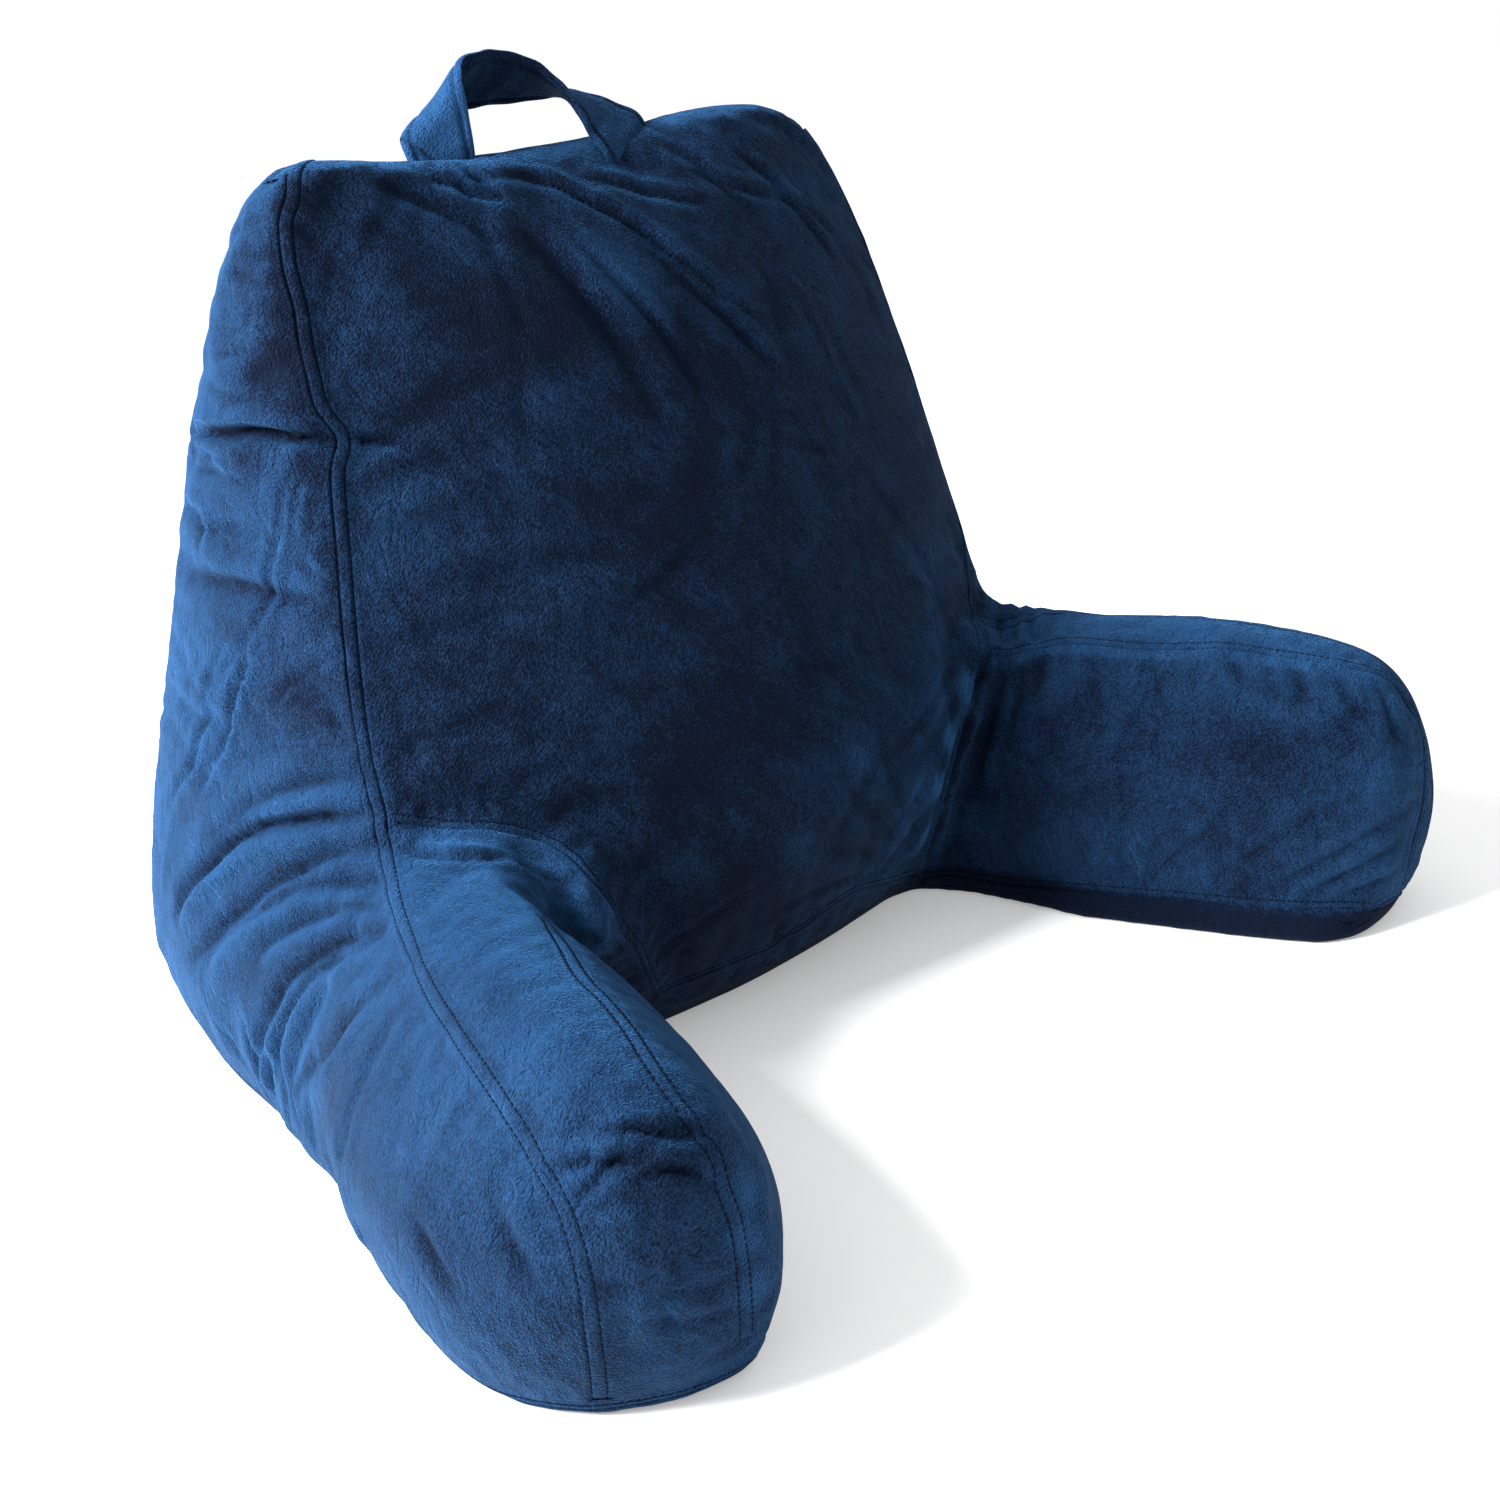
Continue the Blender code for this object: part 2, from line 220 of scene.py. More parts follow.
def catmullRom(points, count):
    # Catmull-Rom curve through the points, with count steps between each two
    p = np.vstack([2 * points[0] - points[1], points, 2 * points[-1] - points[-2]])
    t = np.linspace(0, 1, count, endpoint=False)[:, None]
    parts = [0.5 * (2 * b + (c - a) * t + (2 * a - 5 * b + 4 * c - d) * t ** 2
                    + (3 * b - a - 3 * c + d) * t ** 3)
             for a, b, c, d in zip(p[:-3], p[1:-2], p[2:-1], p[3:])]
    return np.vstack(parts + [points[-1:]])


def lengthAlong(path):
    return np.concatenate([[0], np.cumsum(np.linalg.norm(np.diff(path, axis=0), axis=1))])


def valuesAt(places, length, values):
    return np.stack([np.interp(places, length, values[:, k]) for k in range(3)], axis=1)


def spline(points, step):
    # the same curve in even steps along its length
    fine = catmullRom(points, 24)
    length = lengthAlong(fine)
    count = max(int(round(length[-1] / step)), 2)
    return valuesAt(np.linspace(0, length[-1], count + 1), length, fine)


def smoothRows(rows, times):
    # half each row and half its two neighbours' mean, the ends held
    for _ in range(times):
        rows = np.vstack([rows[:1], 0.5 * rows[1:-1] + 0.25 * (rows[:-2] + rows[2:]), rows[-1:]])
    return rows


def layPath(surface, pixels=None, metres=None, step=0.002):
    # a smooth path on the surface and the way the surface faces along it
    rough = surface.cast(pixels) if pixels is not None else np.array(metres, float)
    path = spline(rough, step)
    path, _ = surface.drop(path)
    path = smoothRows(path, 6)
    path, facing = surface.drop(path)
    return path, unit(smoothRows(facing, 8))


# The seams that show, by pixel, and those that don't, in metres.
seamPixels = {
    "leftOuter": [(310, 155), (295, 168), (293, 201), (286, 216), (286, 237), (291, 272), (301, 308),
        (305, 337), (314, 375), (322, 407), (345, 438), (338, 465), (339, 500), (344, 556), (348, 612),
        (353, 668), (360, 724), (367, 767), (378, 807), (384, 845), (392, 887), (406, 936), (428, 988),
        (448, 1021), (479, 1068), (515, 1122), (554, 1190), (572, 1232), (586, 1287), (593, 1339),
        (597, 1366), (600, 1398)],
    "leftInner": [(548, 921), (562, 941), (582, 976), (607, 1001), (629, 1028), (653, 1066), (685, 1115),
        (713, 1151), (724, 1190), (738, 1227), (745, 1287), (746, 1339)],
    "rightInner": [(992, 655), (1004, 656), (1046, 647), (1073, 643), (1140, 649), (1198, 649),
        (1217, 647), (1291, 658), (1360, 670), (1392, 682), (1405, 702), (1420, 728), (1424, 764),
        (1422, 808), (1413, 842), (1401, 886)],
    "leftPanel": [(390, 822), (424, 826), (462, 828), (506, 831), (544, 840), (573, 858), (596, 885),
        (618, 923), (638, 954), (649, 981), (656, 997)],
    "rightPanel": [(988, 597), (984, 649), (975, 681), (962, 721), (950, 765), (939, 806), (930, 850),
        (924, 877)],
    "rightBase": [(924, 877), (1000, 883), (1130, 895), (1200, 901), (1268, 907), (1330, 909), (1394, 900)],
    "frontBase": [(660, 992), (700, 976), (760, 951), (800, 929), (846, 896), (872, 886), (924, 878)],
}
# Height, then the front edge's and the rear edge's half width and place in Y, as the panels are cut.
edgeRows = np.array([
    (0.016, 0.166, 0.006, 0.240, 0.262), (0.092, 0.182, -0.016, 0.246, 0.260),
    (0.158, 0.186, -0.020, 0.242, 0.240), (0.236, 0.224, 0.024, 0.224, 0.208),
    (0.322, 0.217, 0.048, 0.208, 0.190), (0.408, 0.206, 0.072, 0.192, 0.172),
    (0.480, 0.190, 0.091, 0.170, 0.150)])
armSetup = {"left": {"sign": -1, "splay": 22.6}, "right": {"sign": 1, "splay": 22.0}}
partShift = np.array([-0.0070, 0.0005, 0.0])


def armPoint(side, along, outward, height):
    # root + along (sin splay, -cos splay) + outward (cos splay, sin splay), mirrored for the left arm
    sign, splay = armSetup[side]["sign"], math.radians(armSetup[side]["splay"])
    x = sign * (0.186 + along * math.sin(splay) + outward * math.cos(splay))
    y = -0.020 - along * math.cos(splay) + outward * math.sin(splay)
    return np.array([x, y, height]) + partShift


def hiddenSeams():
    table = {}
    rows = edgeRows[::-1]
    table["rightOuter"] = [(x, y, z) for z, x, y, _, _ in rows[:5]] + [(0.197, -0.008, 0.180)]
    table["rightOuter"] = [np.array(p) + partShift for p in table["rightOuter"]]
    crest = ((0.04, 0.165), (0.10, 0.170), (0.17, 0.168), (0.225, 0.148), (0.255, 0.10), (0.262, 0.05),
             (0.262, 0.016))
    table["rightOuter"] += [armPoint("right", a, 0.052, h) for a, h in crest]
    sole = ((0.06, 0.110), (0.12, 0.105), (0.18, 0.088), (0.235, 0.055), (0.262, 0.010), (0.250, -0.040))
    for side, sign, low in (("left", -1, 0.005), ("right", 1, 0.016)):
        table[side + "Rear"] = [np.array((sign * x, y, z)) + partShift for z, _, _, x, y in rows]
        table[side + "Sole"] = [np.array((sign * x, y, low)) + partShift
                                for x, y in ((0.240, 0.262), (0.285, 0.150), (0.276, 0.050))]
        table[side + "Sole"] += [armPoint(side, a, o, low) for a, o in sole]
    table["leftSole"] += [armPoint("left", a, o, 0.005)
                          for a, o in ((0.19, -0.070), (0.10, -0.075), (0.02, -0.070))]
    table["rearSole"] = [np.array((x, 0.268, 0.016)) + partShift for x in np.linspace(-0.236, 0.236, 7)]
    table["topFront"] = [np.array((x, 0.106, 0.505)) + partShift for x in np.linspace(-0.186, 0.182, 9)]
    table["rearTop"] = [np.array((x, 0.150, 0.494)) + partShift for x in np.linspace(-0.168, 0.168, 9)]
    return table


# Where the filling sits fuller or slacker than in the plain form: a pixel, the radius and the push, both
# in millimetres.
fullnessTable = [
    (552, 905, 26, 18), (500, 880, 20, 7), (580, 905, 26, 18), (612, 942, 22, 14), (638, 976, 16, 8),
    (440, 866, 18, 3), (480, 850, 16, 5), (560, 880, 20, 9), (1010, 612, 15, 8), (1052, 614, 20, 6),
    (972, 640, 14, 6), (957, 690, 15, 7), (942, 740, 15, 7), (928, 790, 15, 6), (918, 836, 13, 5),
    (1006, 690, 13, 5), (994, 750, 13, 5), (980, 810, 13, 5), (312, 1140, 26, 5), (350, 1200, 28, 3),
    (286, 1096, 34, 4), (196, 470, 52, 3), (186, 590, 60, 5),
    (172, 700, 60, 4), (240, 402, 24, 5), (300, 410, 20, 3), (250, 470, 22, 3),
]


# Where the left arm's top runs into the panel: a pixel, the radius in millimetres that is evened out
# round it, and how many times.
rootSpots = [(546, 896, 42, 80), (505, 872, 28, 45), (575, 925, 28, 50)]
# The right arm's foot swells out under its base seam, towards the seat: metres.
footSwell = {"push": 0.018, "height": 0.021, "middle": 0.055, "reach": 0.050}


def softenRoot(item):
    # p (1 - w) + even p w, with w = 1.6 - 1.2 r / radius kept from 0 to 1 and faded to the floor
    for u, v, radius, times in rootSpots:
        surface = Surface(item)
        spot = surface.cast([(u, v)])[0]
        points = surface.points
        away = np.linalg.norm(points - spot, axis=1)
        part = np.clip(1.6 - 1.2 * away / (radius / 1000), 0, 1)[:, None]
        part *= np.clip(points[:, 2] / 0.02, 0, 1)[:, None]
        even = np.stack([spread(item.data, points[:, k], times) for k in range(3)], axis=1)
        setPoints(item.data, points * (1 - part) + even * part)


def swellFoot(item):
    # moves by push exp(-(z / height)^2) on the seat side of the arm's middle, fading at both its ends
    points, _ = meshArrays(item.data)
    splay = math.radians(armSetup["right"]["splay"])
    root = np.array([0.186, -0.020]) + partShift[:2]
    outward = np.array([math.cos(splay), math.sin(splay)])
    along = (points[:, :2] - root) @ np.array([math.sin(splay), -math.cos(splay)])
    across = (points[:, :2] - root) @ outward
    window = np.clip((along + 0.01) / 0.08, 0, 1) * np.clip((0.275 - along) / 0.06, 0, 1)
    window *= points[:, 0] > 0.05
    push = footSwell["push"] * window * np.exp(-(points[:, 2] / footSwell["height"]) ** 2)
    push *= np.clip((footSwell["middle"] - across) / footSwell["reach"], 0, 1)
    points[:, :2] -= outward * push[:, None]
    setPoints(item.data, points)


def fillOut(item):
    # pushed along the normal by the sum of push exp(-(r / radius)^2), faded to the floor
    surface = Surface(item)
    points, normals = surface.points, surface.normals
    push = np.zeros(len(points))
    for u, v, radius, amount in fullnessTable:
        spot = surface.cast([(u, v)])[0]
        push += amount / 1000 * np.exp(-((points - spot) ** 2).sum(1) / (radius / 1000) ** 2)
    push *= np.clip(points[:, 2] / 0.02, 0, 1)
    moved = points + normals * push[:, None]
    # where it was pushed, the surface is evened again so that a filled hollow has no fold in it
    even = np.stack([spread(item.data, moved[:, k], 6) for k in range(3)], axis=1)
    part = np.clip(push / 0.006, 0, 1)[:, None]
    setPoints(item.data, moved * (1 - part) + even * part)


softenRoot(skin)
swellFoot(skin)
fillOut(skin)
surface = Surface(skin)
seams = {name: layPath(surface, pixels=pixels) for name, pixels in seamPixels.items()}
for name, metres in hiddenSeams().items():
    seams[name] = layPath(surface, metres=metres)
print("seams laid:", len(seams))


seamNames = list(seams)
seamSamples = np.vstack([path for path, _ in seams.values()])
seamFacing = np.vstack([facing for _, facing in seams.values()])
seamAlong = np.concatenate([np.arange(len(path)) * 0.002 for path, _ in seams.values()])
seamNumber = np.concatenate([np.full(len(path), i) for i, (path, _) in enumerate(seams.values())])


# Cloth: held at the seams and on the floor, blown up a little, a bit larger than its frame so that it
# puckers between them.
clothSettings = {"quality": 4, "mass": 0.25, "tension_stiffness": 14, "compression_stiffness": 10,
                 "bending_stiffness": 0.25, "vertex_group_mass": "held", "use_pressure": True,
                 "uniform_pressure_force": 4.0, "shrink_min": -0.03}


def puff(item):
    # start + n (keepSwell even + cap tanh(keepPucker puckers / cap)), even and puckers from the cloth
    points, normals = meshArrays(item.data)
    start = points.copy()
    _, away = nearestOfMany(points, seamSamples)
    hold = np.clip(1 - (away - coverSetup["pinReach"]) / 0.010, 0, 1)
    hold = np.maximum(hold, np.clip(1 - (points[:, 2] - coverSetup["floorBand"]) / 0.008, 0, 1))
    group = item.vertex_groups.new(name="held")
    for level in np.unique(np.round(hold, 2)):
        if level > 0:
            group.add(np.nonzero(np.round(hold, 2) == level)[0].tolist(), float(level), "REPLACE")
    cloth = item.modifiers.new("cloth", "CLOTH")
    for key, value in clothSettings.items():
        setattr(cloth.settings, key, value)
    cloth.settings.effector_weights.gravity = 0
    cloth.collision_settings.use_collision = False
    cloth.point_cache.frame_start, cloth.point_cache.frame_end = 1, coverSetup["frames"]
    for step in range(1, coverSetup["frames"] + 1):
        bpy.context.scene.frame_set(step)
    applyModifiers(item)
    bpy.context.scene.frame_set(1)
    # the even swelling is mostly taken out again and the puckers are kept, each point capped
    rise = ((meshArrays(item.data)[0] - start) * normals).sum(1)
    even = spread(item.data, rise, coverSetup["evenOut"])
    puckers = rise - even
    cap = coverSetup["cap"]
    moved = coverSetup["keepSwell"] * even + cap * np.tanh(coverSetup["keepPucker"] * puckers / cap)
    setPoints(item.data, start + normals * moved[:, None])
    print("puffed: swelling", round(even.mean() * 1000, 2), "mm, puckers", round(puckers.std() * 1000, 2))


puff(skin)
finer = skin.modifiers.new("finer", "SUBSURF")
finer.levels = finer.render_levels = 1
applyModifiers(skin)
skinPoints, skinNormals = meshArrays(skin.data)
print("skin points:", len(skinPoints))


# Listed creases: each is a path of pixels with its half width, depth and lip in millimetres. The lip
# is the rolled edge beside the trough, on the path's left where it is above zero.
creaseTable = [
    (3.4, 9.0, 2.6, [(188, 433), (233, 433), (275, 436), (309, 439), (340, 440)]),
    (3.0, 2.6, 0.8, [(347, 440), (371, 440), (405, 445)]),
    (5.0, 3.4, 1.6, [(190, 574), (223, 581), (257, 590), (295, 600), (337, 607)]),
    (2.6, 2.2, 1.2, [(295, 467), (283, 498), (282, 522), (273, 553), (270, 584), (270, 602), (251, 633),
     (230, 667)]),
    (2.6, 1.8, 1.0, [(302, 481), (294, 505), (292, 536)]),
    (2.4, 0.8, 0.5, [(254, 302), (251, 318), (249, 333)]),
    (6.0, 1.6, 0.6, [(236, 262), (262, 256), (290, 259)]),
    (5.0, 1.4, 0.8, [(240, 230), (262, 220), (285, 217)]),
    (8.0, 2.2, 0.6, [(248, 384), (275, 366), (303, 352)]),
    (4.0, 2.4, 0.8, [(194, 449), (206, 455), (215, 461)]),
    (4.0, 2.0, 0.8, [(186, 505), (202, 519), (199, 546)]),
    (2.8, 3.0, 1.8, [(247, 640), (244, 672), (234, 702), (231, 728), (221, 751), (200, 766)]),
    (2.8, 2.2, 1.4, [(236, 655), (215, 678), (202, 702)]),
    (2.8, 3.2, 1.8, [(214, 707), (199, 734), (193, 766), (177, 784), (174, 795)]),
    (2.6, 1.8, 1.2, [(262, 640), (236, 690), (228, 720)]),
    (5.4, 3.8, 2.4, [(372, 781), (335, 779), (306, 784), (271, 795), (238, 813), (204, 845)]),
    (5.0, 7.0, 3.8, [(376, 815), (335, 817), (294, 822), (259, 828), (233, 842), (215, 859), (197, 875),
     (183, 895), (177, 916)]),
    (5.6, 5.0, 2.8, [(382, 845), (341, 851), (306, 866), (271, 883), (247, 904), (224, 922), (209, 942),
     (192, 963)]),
    (5.2, 4.0, 2.4, [(385, 886), (341, 883), (306, 886), (283, 898), (259, 913), (230, 933), (212, 957),
     (203, 977)]),
    (4.2, 2.2, 1.4, [(382, 910), (359, 907), (335, 913), (306, 922), (280, 935), (258, 952)]),
    (5.4, 4.6, 2.9, [(385, 926), (359, 933), (329, 948), (306, 963), (285, 983), (274, 1007),
     (262, 1033), (259, 1057), (264, 1085)]),
    (5.0, 4.2, 2.7, [(385, 936), (353, 951), (324, 969), (303, 992), (288, 1021), (283, 1051),
     (283, 1080), (288, 1105)]),
    (6.0, 2.4, 1.6, [(392, 980), (353, 1013), (329, 1048), (306, 1074), (293, 1104)]),
    (4.4, 2.8, 1.6, [(244, 1024), (250, 1048), (262, 1078), (276, 1104)]),
    (4.0, 2.6, 1.4, [(265, 1038), (274, 1071), (281, 1110)]),
    (3.0, 1.0, 0.6, [(222, 1028), (234, 1044), (246, 1064)]),
    (1.8, 0.5, 0.2, [(385, 884), (427, 882), (482, 884)]),
    (3.0, 2.6, 2.2, [(408, 852), (440, 857), (475, 858), (508, 858)]),
    (2.6, 2.4, 1.6, [(520, 862), (538, 874), (556, 880), (572, 884)]),
    (2.6, 1.4, 0.9, [(536, 908), (560, 915), (584, 917), (606, 924)]),
    (2.4, 1.2, 0.8, [(560, 892), (584, 905), (604, 916), (618, 930)]),
    (2.4, 1.0, 0.7, [(566, 926), (590, 934), (612, 944), (634, 962)]),
    (2.4, 0.9, 0.6, [(578, 944), (600, 952), (622, 962), (642, 978)]),
    (2.2, 0.7, 0.5, [(592, 966), (616, 978), (640, 1000)]),
    (3.6, 3.0, 2.0, [(556, 1172), (590, 1160), (622, 1166), (650, 1158)]),
    (2.8, 2.6, 1.8, [(580, 1196), (600, 1178), (624, 1150)]),
    (2.8, 2.8, 2.0, [(604, 1134), (640, 1128), (672, 1138), (700, 1134)]),
    (2.8, 2.6, 1.8, [(640, 1180), (664, 1168), (690, 1172), (712, 1184)]),
    (3.0, 1.2, -1.0, [(596, 1206), (626, 1200), (650, 1206)]),
    (2.6, 2.2, 1.6, [(668, 1118), (690, 1124), (712, 1140)]),
    (5.0, 1.9, 0.8, [(410, 1215), (430, 1250), (452, 1290)]),
    (5.0, 1.8, 0.8, [(484, 1186), (506, 1232), (536, 1286)]),
    (3.0, 0.9, 0.4, [(604, 1284), (650, 1292), (700, 1288), (738, 1276)]),
    (3.0, 0.9, 0.4, [(606, 1312), (654, 1322), (704, 1318), (740, 1306)]),
    (2.6, 1.8, 1.0, [(228, 638), (214, 664), (203, 698)]),
    (2.4, 1.6, 1.0, [(343, 651), (314, 668), (294, 682), (276, 700), (262, 716)]),
    (2.4, 1.6, 1.0, [(249, 663), (222, 682), (208, 708)]),
    (2.6, 2.2, 1.4, [(228, 744), (215, 764), (198, 793)]),
    (2.4, 1.6, 1.0, [(212, 716), (203, 742), (196, 760)]),
    (2.4, 1.4, 0.8, [(262, 300), (280, 306), (296, 316)]),
    (3.4, 1.6, 0.9, [(226, 268), (246, 276), (268, 290)]),
    (3.0, 1.6, 0.8, [(214, 360), (236, 352), (262, 352)]),
    (3.0, 1.4, 0.8, [(212, 386), (232, 398), (262, 402)]),
    (2.8, 1.2, 0.7, [(190, 528), (214, 530), (240, 522)]),
    (2.8, 1.6, 0.8, [(196, 470), (222, 474), (250, 486)]),
    (2.6, 1.6, 1.0, [(300, 560), (320, 580), (340, 586)]),
    (2.8, 3.4, 2.0, [(986, 634), (980, 676), (966, 726), (952, 776), (938, 826), (927, 868)]),
    (3.4, 2.4, 1.6, [(1003, 603), (1001, 622), (1004, 645)]),
    (3.0, 2.8, 1.8, [(1019, 606), (1014, 626), (1018, 650)]),
    (3.2, 2.0, 1.4, [(1034, 610), (1030, 628), (1033, 644)]),
    (3.6, 1.4, 0.9, [(1058, 612), (1052, 628), (1049, 642)]),
    (4.4, 3.0, 1.4, [(1008, 664), (998, 700), (986, 740), (974, 790)]),
    (4.4, 2.2, 1.2, [(1026, 660), (1022, 690), (1010, 730)]),
    (4.4, 1.8, 1.0, [(1044, 655), (1040, 680), (1036, 700)]),
    (4.6, 1.6, 0.9, [(1090, 655), (1094, 690), (1100, 730)]),
    (4.0, 2.0, 1.2, [(1226, 655), (1234, 672), (1243, 690)]),
    (4.4, 2.8, 1.6, [(1292, 664), (1299, 682), (1306, 708)]),
    (4.4, 3.2, 1.8, [(1334, 676), (1346, 696), (1362, 724)]),
    (3.8, 2.4, 1.4, [(1356, 676), (1366, 694), (1374, 716)]),
    (3.6, 1.8, 1.0, [(1376, 686), (1386, 708), (1396, 740)]),
    (4.0, 0.9, 0.5, [(1394, 720), (1402, 745), (1404, 780)]),
    (3.2, 1.6, 1.0, [(1262, 894), (1310, 868), (1360, 840), (1412, 800)]),
    (3.2, 1.4, 0.9, [(1200, 884), (1250, 856), (1300, 824), (1350, 800)]),
    (3.2, 1.6, 1.0, [(1300, 900), (1350, 872), (1400, 840)]),
    (3.2, 1.3, 0.8, [(1140, 882), (1170, 860), (1210, 830), (1240, 800)]),
    (3.2, 1.4, 0.8, [(1330, 904), (1370, 884), (1402, 864)]),
    (3.4, 2.9, 1.8, [(498, 176), (539, 180), (587, 200), (635, 226), (680, 259), (724, 296), (761, 322)]),
    (3.2, 2.2, 1.4, [(594, 178), (650, 193), (705, 204)]),
    (3.2, 1.5, 0.9, [(683, 171), (742, 189), (798, 204), (835, 237)]),
    (8.0, 3.2, 1.4, [(517, 222), (561, 267), (598, 311), (635, 363)]),
    (5.0, 2.6, 1.5, [(635, 237), (687, 282), (735, 326), (776, 374)]),
    (4.6, 2.2, 1.3, [(560, 230), (610, 276), (660, 330), (700, 392)]),
    (5.0, 2.4, 1.2, [(365, 178), (409, 196), (465, 222), (500, 246)]),
    (3.2, 2.4, 1.6, [(413, 164), (435, 180), (470, 193), (517, 202)]),
    (2.6, 2.2, 1.6, [(432, 168), (448, 178), (470, 184)]),
    (2.6, 2.2, 1.6, [(452, 170), (470, 178), (494, 184)]),
    (4.0, 1.4, 0.8, [(1150, 655), (1156, 686), (1160, 716)]),
    (4.0, 1.2, 0.7, [(1190, 655), (1194, 676), (1196, 700)]),
    (4.0, 1.3, 0.7, [(1262, 662), (1268, 684), (1274, 712)]),
    (2.4, 1.8, 1.4, [(442, 166), (456, 178), (470, 196)]),
    (2.4, 1.8, 1.4, [(462, 168), (478, 180), (500, 196)]),
    (3.4, 1.7, 1.0, [(720, 140), (760, 170), (800, 214), (836, 262)]),
    (3.4, 1.5, 0.9, [(650, 140), (690, 158), (720, 186), (760, 220)]),
    (7.0, 1.4, 0.4, [(600, 320), (640, 380), (668, 440)]),
    (5.0, 1.5, 0.8, [(396, 770), (412, 796), (440, 818)]),
    (6.0, 1.4, 0.6, [(976, 652), (958, 700), (944, 760), (926, 820)]),
    (4.0, 1.0, 0.5, [(962, 648), (940, 690), (914, 730), (880, 762)]),
    (5.0, 1.0, 0.5, [(918, 866), (880, 856), (840, 850), (800, 852)]),
    (5.0, 1.2, 0.6, [(914, 850), (880, 826), (850, 790), (826, 748)]),
    (4.0, 0.9, 0.5, [(920, 836), (900, 800), (884, 760), (874, 716)]),
    (4.0, 0.9, 0.5, [(898, 868), (850, 878), (800, 900), (750, 926)]),
    (4.0, 0.8, 0.4, [(660, 960), (690, 930), (730, 904), (770, 880)]),
    (5.0, 0.9, 0.4, [(420, 740), (470, 720), (520, 716), (570, 724)]),
]


# A listed crease's half width, depth and lip are these times its row's; the taper rounds its ends off.
creaseSetup = {"scale": np.array([0.9, 1.5, 1.5]), "taper": 0.6}


def press(shift, path, facing, width, depth, lip):
    # trough: -depth exp(-(d/width)^1.4), sharp at its bottom; lip: exp(-((s - 1.9 width)/(1.3 width))^2)
    # on one side and 0.35 of it on the other; all fade at the path's ends by sin(pi t)^taper
    low, high = path.min(axis=0) - 4.5 * width, path.max(axis=0) + 4.5 * width
    near = np.nonzero(((skinPoints > low) & (skinPoints < high)).all(axis=1))[0]
    if not len(near):
        return
    index, away = nearest(skinPoints[near], path)
    side = np.cross(facing, np.gradient(path, axis=0))
    side /= np.maximum(np.linalg.norm(side, axis=1), 1e-9)[:, None]
    sideways = ((skinPoints[near] - path[index]) * side[index]).sum(1)
    along = np.sin(np.pi * (index + 0.5) / len(path)) ** creaseSetup["taper"]
    facingSame = np.clip((skinNormals[near] * facing[index]).sum(1) * 2, 0, 1)
    signed = np.where(sideways >= 0, away, -away)
    trough = -depth * np.exp(-(away / width) ** 1.4)
    ridge = abs(lip) * np.exp(-((signed * np.sign(lip) - 1.9 * width) / (1.3 * width)) ** 2)
    back = 0.35 * abs(lip) * np.exp(-((-signed * np.sign(lip) - 2.2 * width) / (1.6 * width)) ** 2)
    shift[near] += (trough + ridge + back) * along * facingSame


def handCreases(shift):
    for width, depth, lip, pixels in creaseTable:
        path, facing = layPath(surface, pixels=pixels, step=0.003)
        press(shift, path, facing, *(creaseSetup["scale"] * (width, depth, lip) / 1000))


# Small creases all over, seeded: they start anywhere and run roughly away from the nearest place where
# the cloth is held tight.
smallSetup = {"count": 260, "length": (0.025, 0.085), "width": (0.0030, 0.0065), "depth": (0.0004, 0.0012),
              "lip": (0.0003, 0.0007), "turn": 0.35, "bow": 3.0, "lowest": 0.02}
tightPlaces = np.array([
    (-0.092, 0.096, 0.485), (0.045, 0.096, 0.485), (-0.2, -0.02, 0.165), (0.19, -0.02, 0.165),
    (-0.173, 0.15, 0.49), (0.16, 0.15, 0.49), (-0.25, 0.26, 0.01), (0.24, 0.26, 0.01),
    (-0.30, -0.24, 0.02), (0.29, -0.23, 0.02)])


def smallCreases(shift):
    starts = rng.choice(len(skinPoints), smallSetup["count"], replace=False)
    for start in starts:
        point, facing = skinPoints[start], skinNormals[start]
        if point[2] < smallSetup["lowest"]:
            continue
        anchor = tightPlaces[((tightPlaces - point) ** 2).sum(1).argmin()]
        run = point - anchor
        run -= facing * (run @ facing)
        run /= max(np.linalg.norm(run), 1e-6)
        across = np.cross(facing, run)
        turn = rng.normal(0, smallSetup["turn"])
        run = math.cos(turn) * run + math.sin(turn) * across
        across = np.cross(facing, run)
        length = rng.uniform(*smallSetup["length"])
        bow = rng.normal(0, smallSetup["bow"])
        t = np.linspace(-0.5, 0.5, 7)[:, None] * length
        path, normals = layPath(surface, metres=point + run * t + across * bow * t ** 2, step=0.004)
        press(shift, path, normals, rng.uniform(*smallSetup["width"]), rng.uniform(*smallSetup["depth"]),
              rng.choice([-1, 1]) * rng.uniform(*smallSetup["lip"]))


puckerStrength = {"leftPanel": 0.0018, "rightInner": 0.0012, "topFront": 0.0012, "rightPanel": 0.0008,
                  "leftOuter": 0.0006, "leftInner": 0.0006}


def seamPuckers(shift):
    # beside each seam: A sin(2 pi s / 14.5 mm + wandering phase) exp(-(d - 4 mm)/10 mm), uneven along s
    strength = np.array([puckerStrength.get(name, 0.0006) for name in seamNames])[seamNumber[seamIndex]]
    same = (skinNormals * seamFacing[seamIndex]).sum(1) > 0.2
    offset = seamNumber[seamIndex] * 1.7
    s = seamAlong[seamIndex]
    phase = 2.2 * np.sin(s * 31 + offset) + 1.4 * np.sin(s * 83 + 2 * offset)
    uneven = 0.55 + 0.45 * np.sin(s * 47 + offset) * np.sin(s * 19 + 3 * offset)
    fade = ramp(seamAway, 0.0035, 0.004) * np.exp(-np.maximum(seamAway - 0.004, 0) / 0.010)
    shift += np.where(same, strength * uneven * fade * np.sin(2 * np.pi * s / 0.0145 + phase), 0)


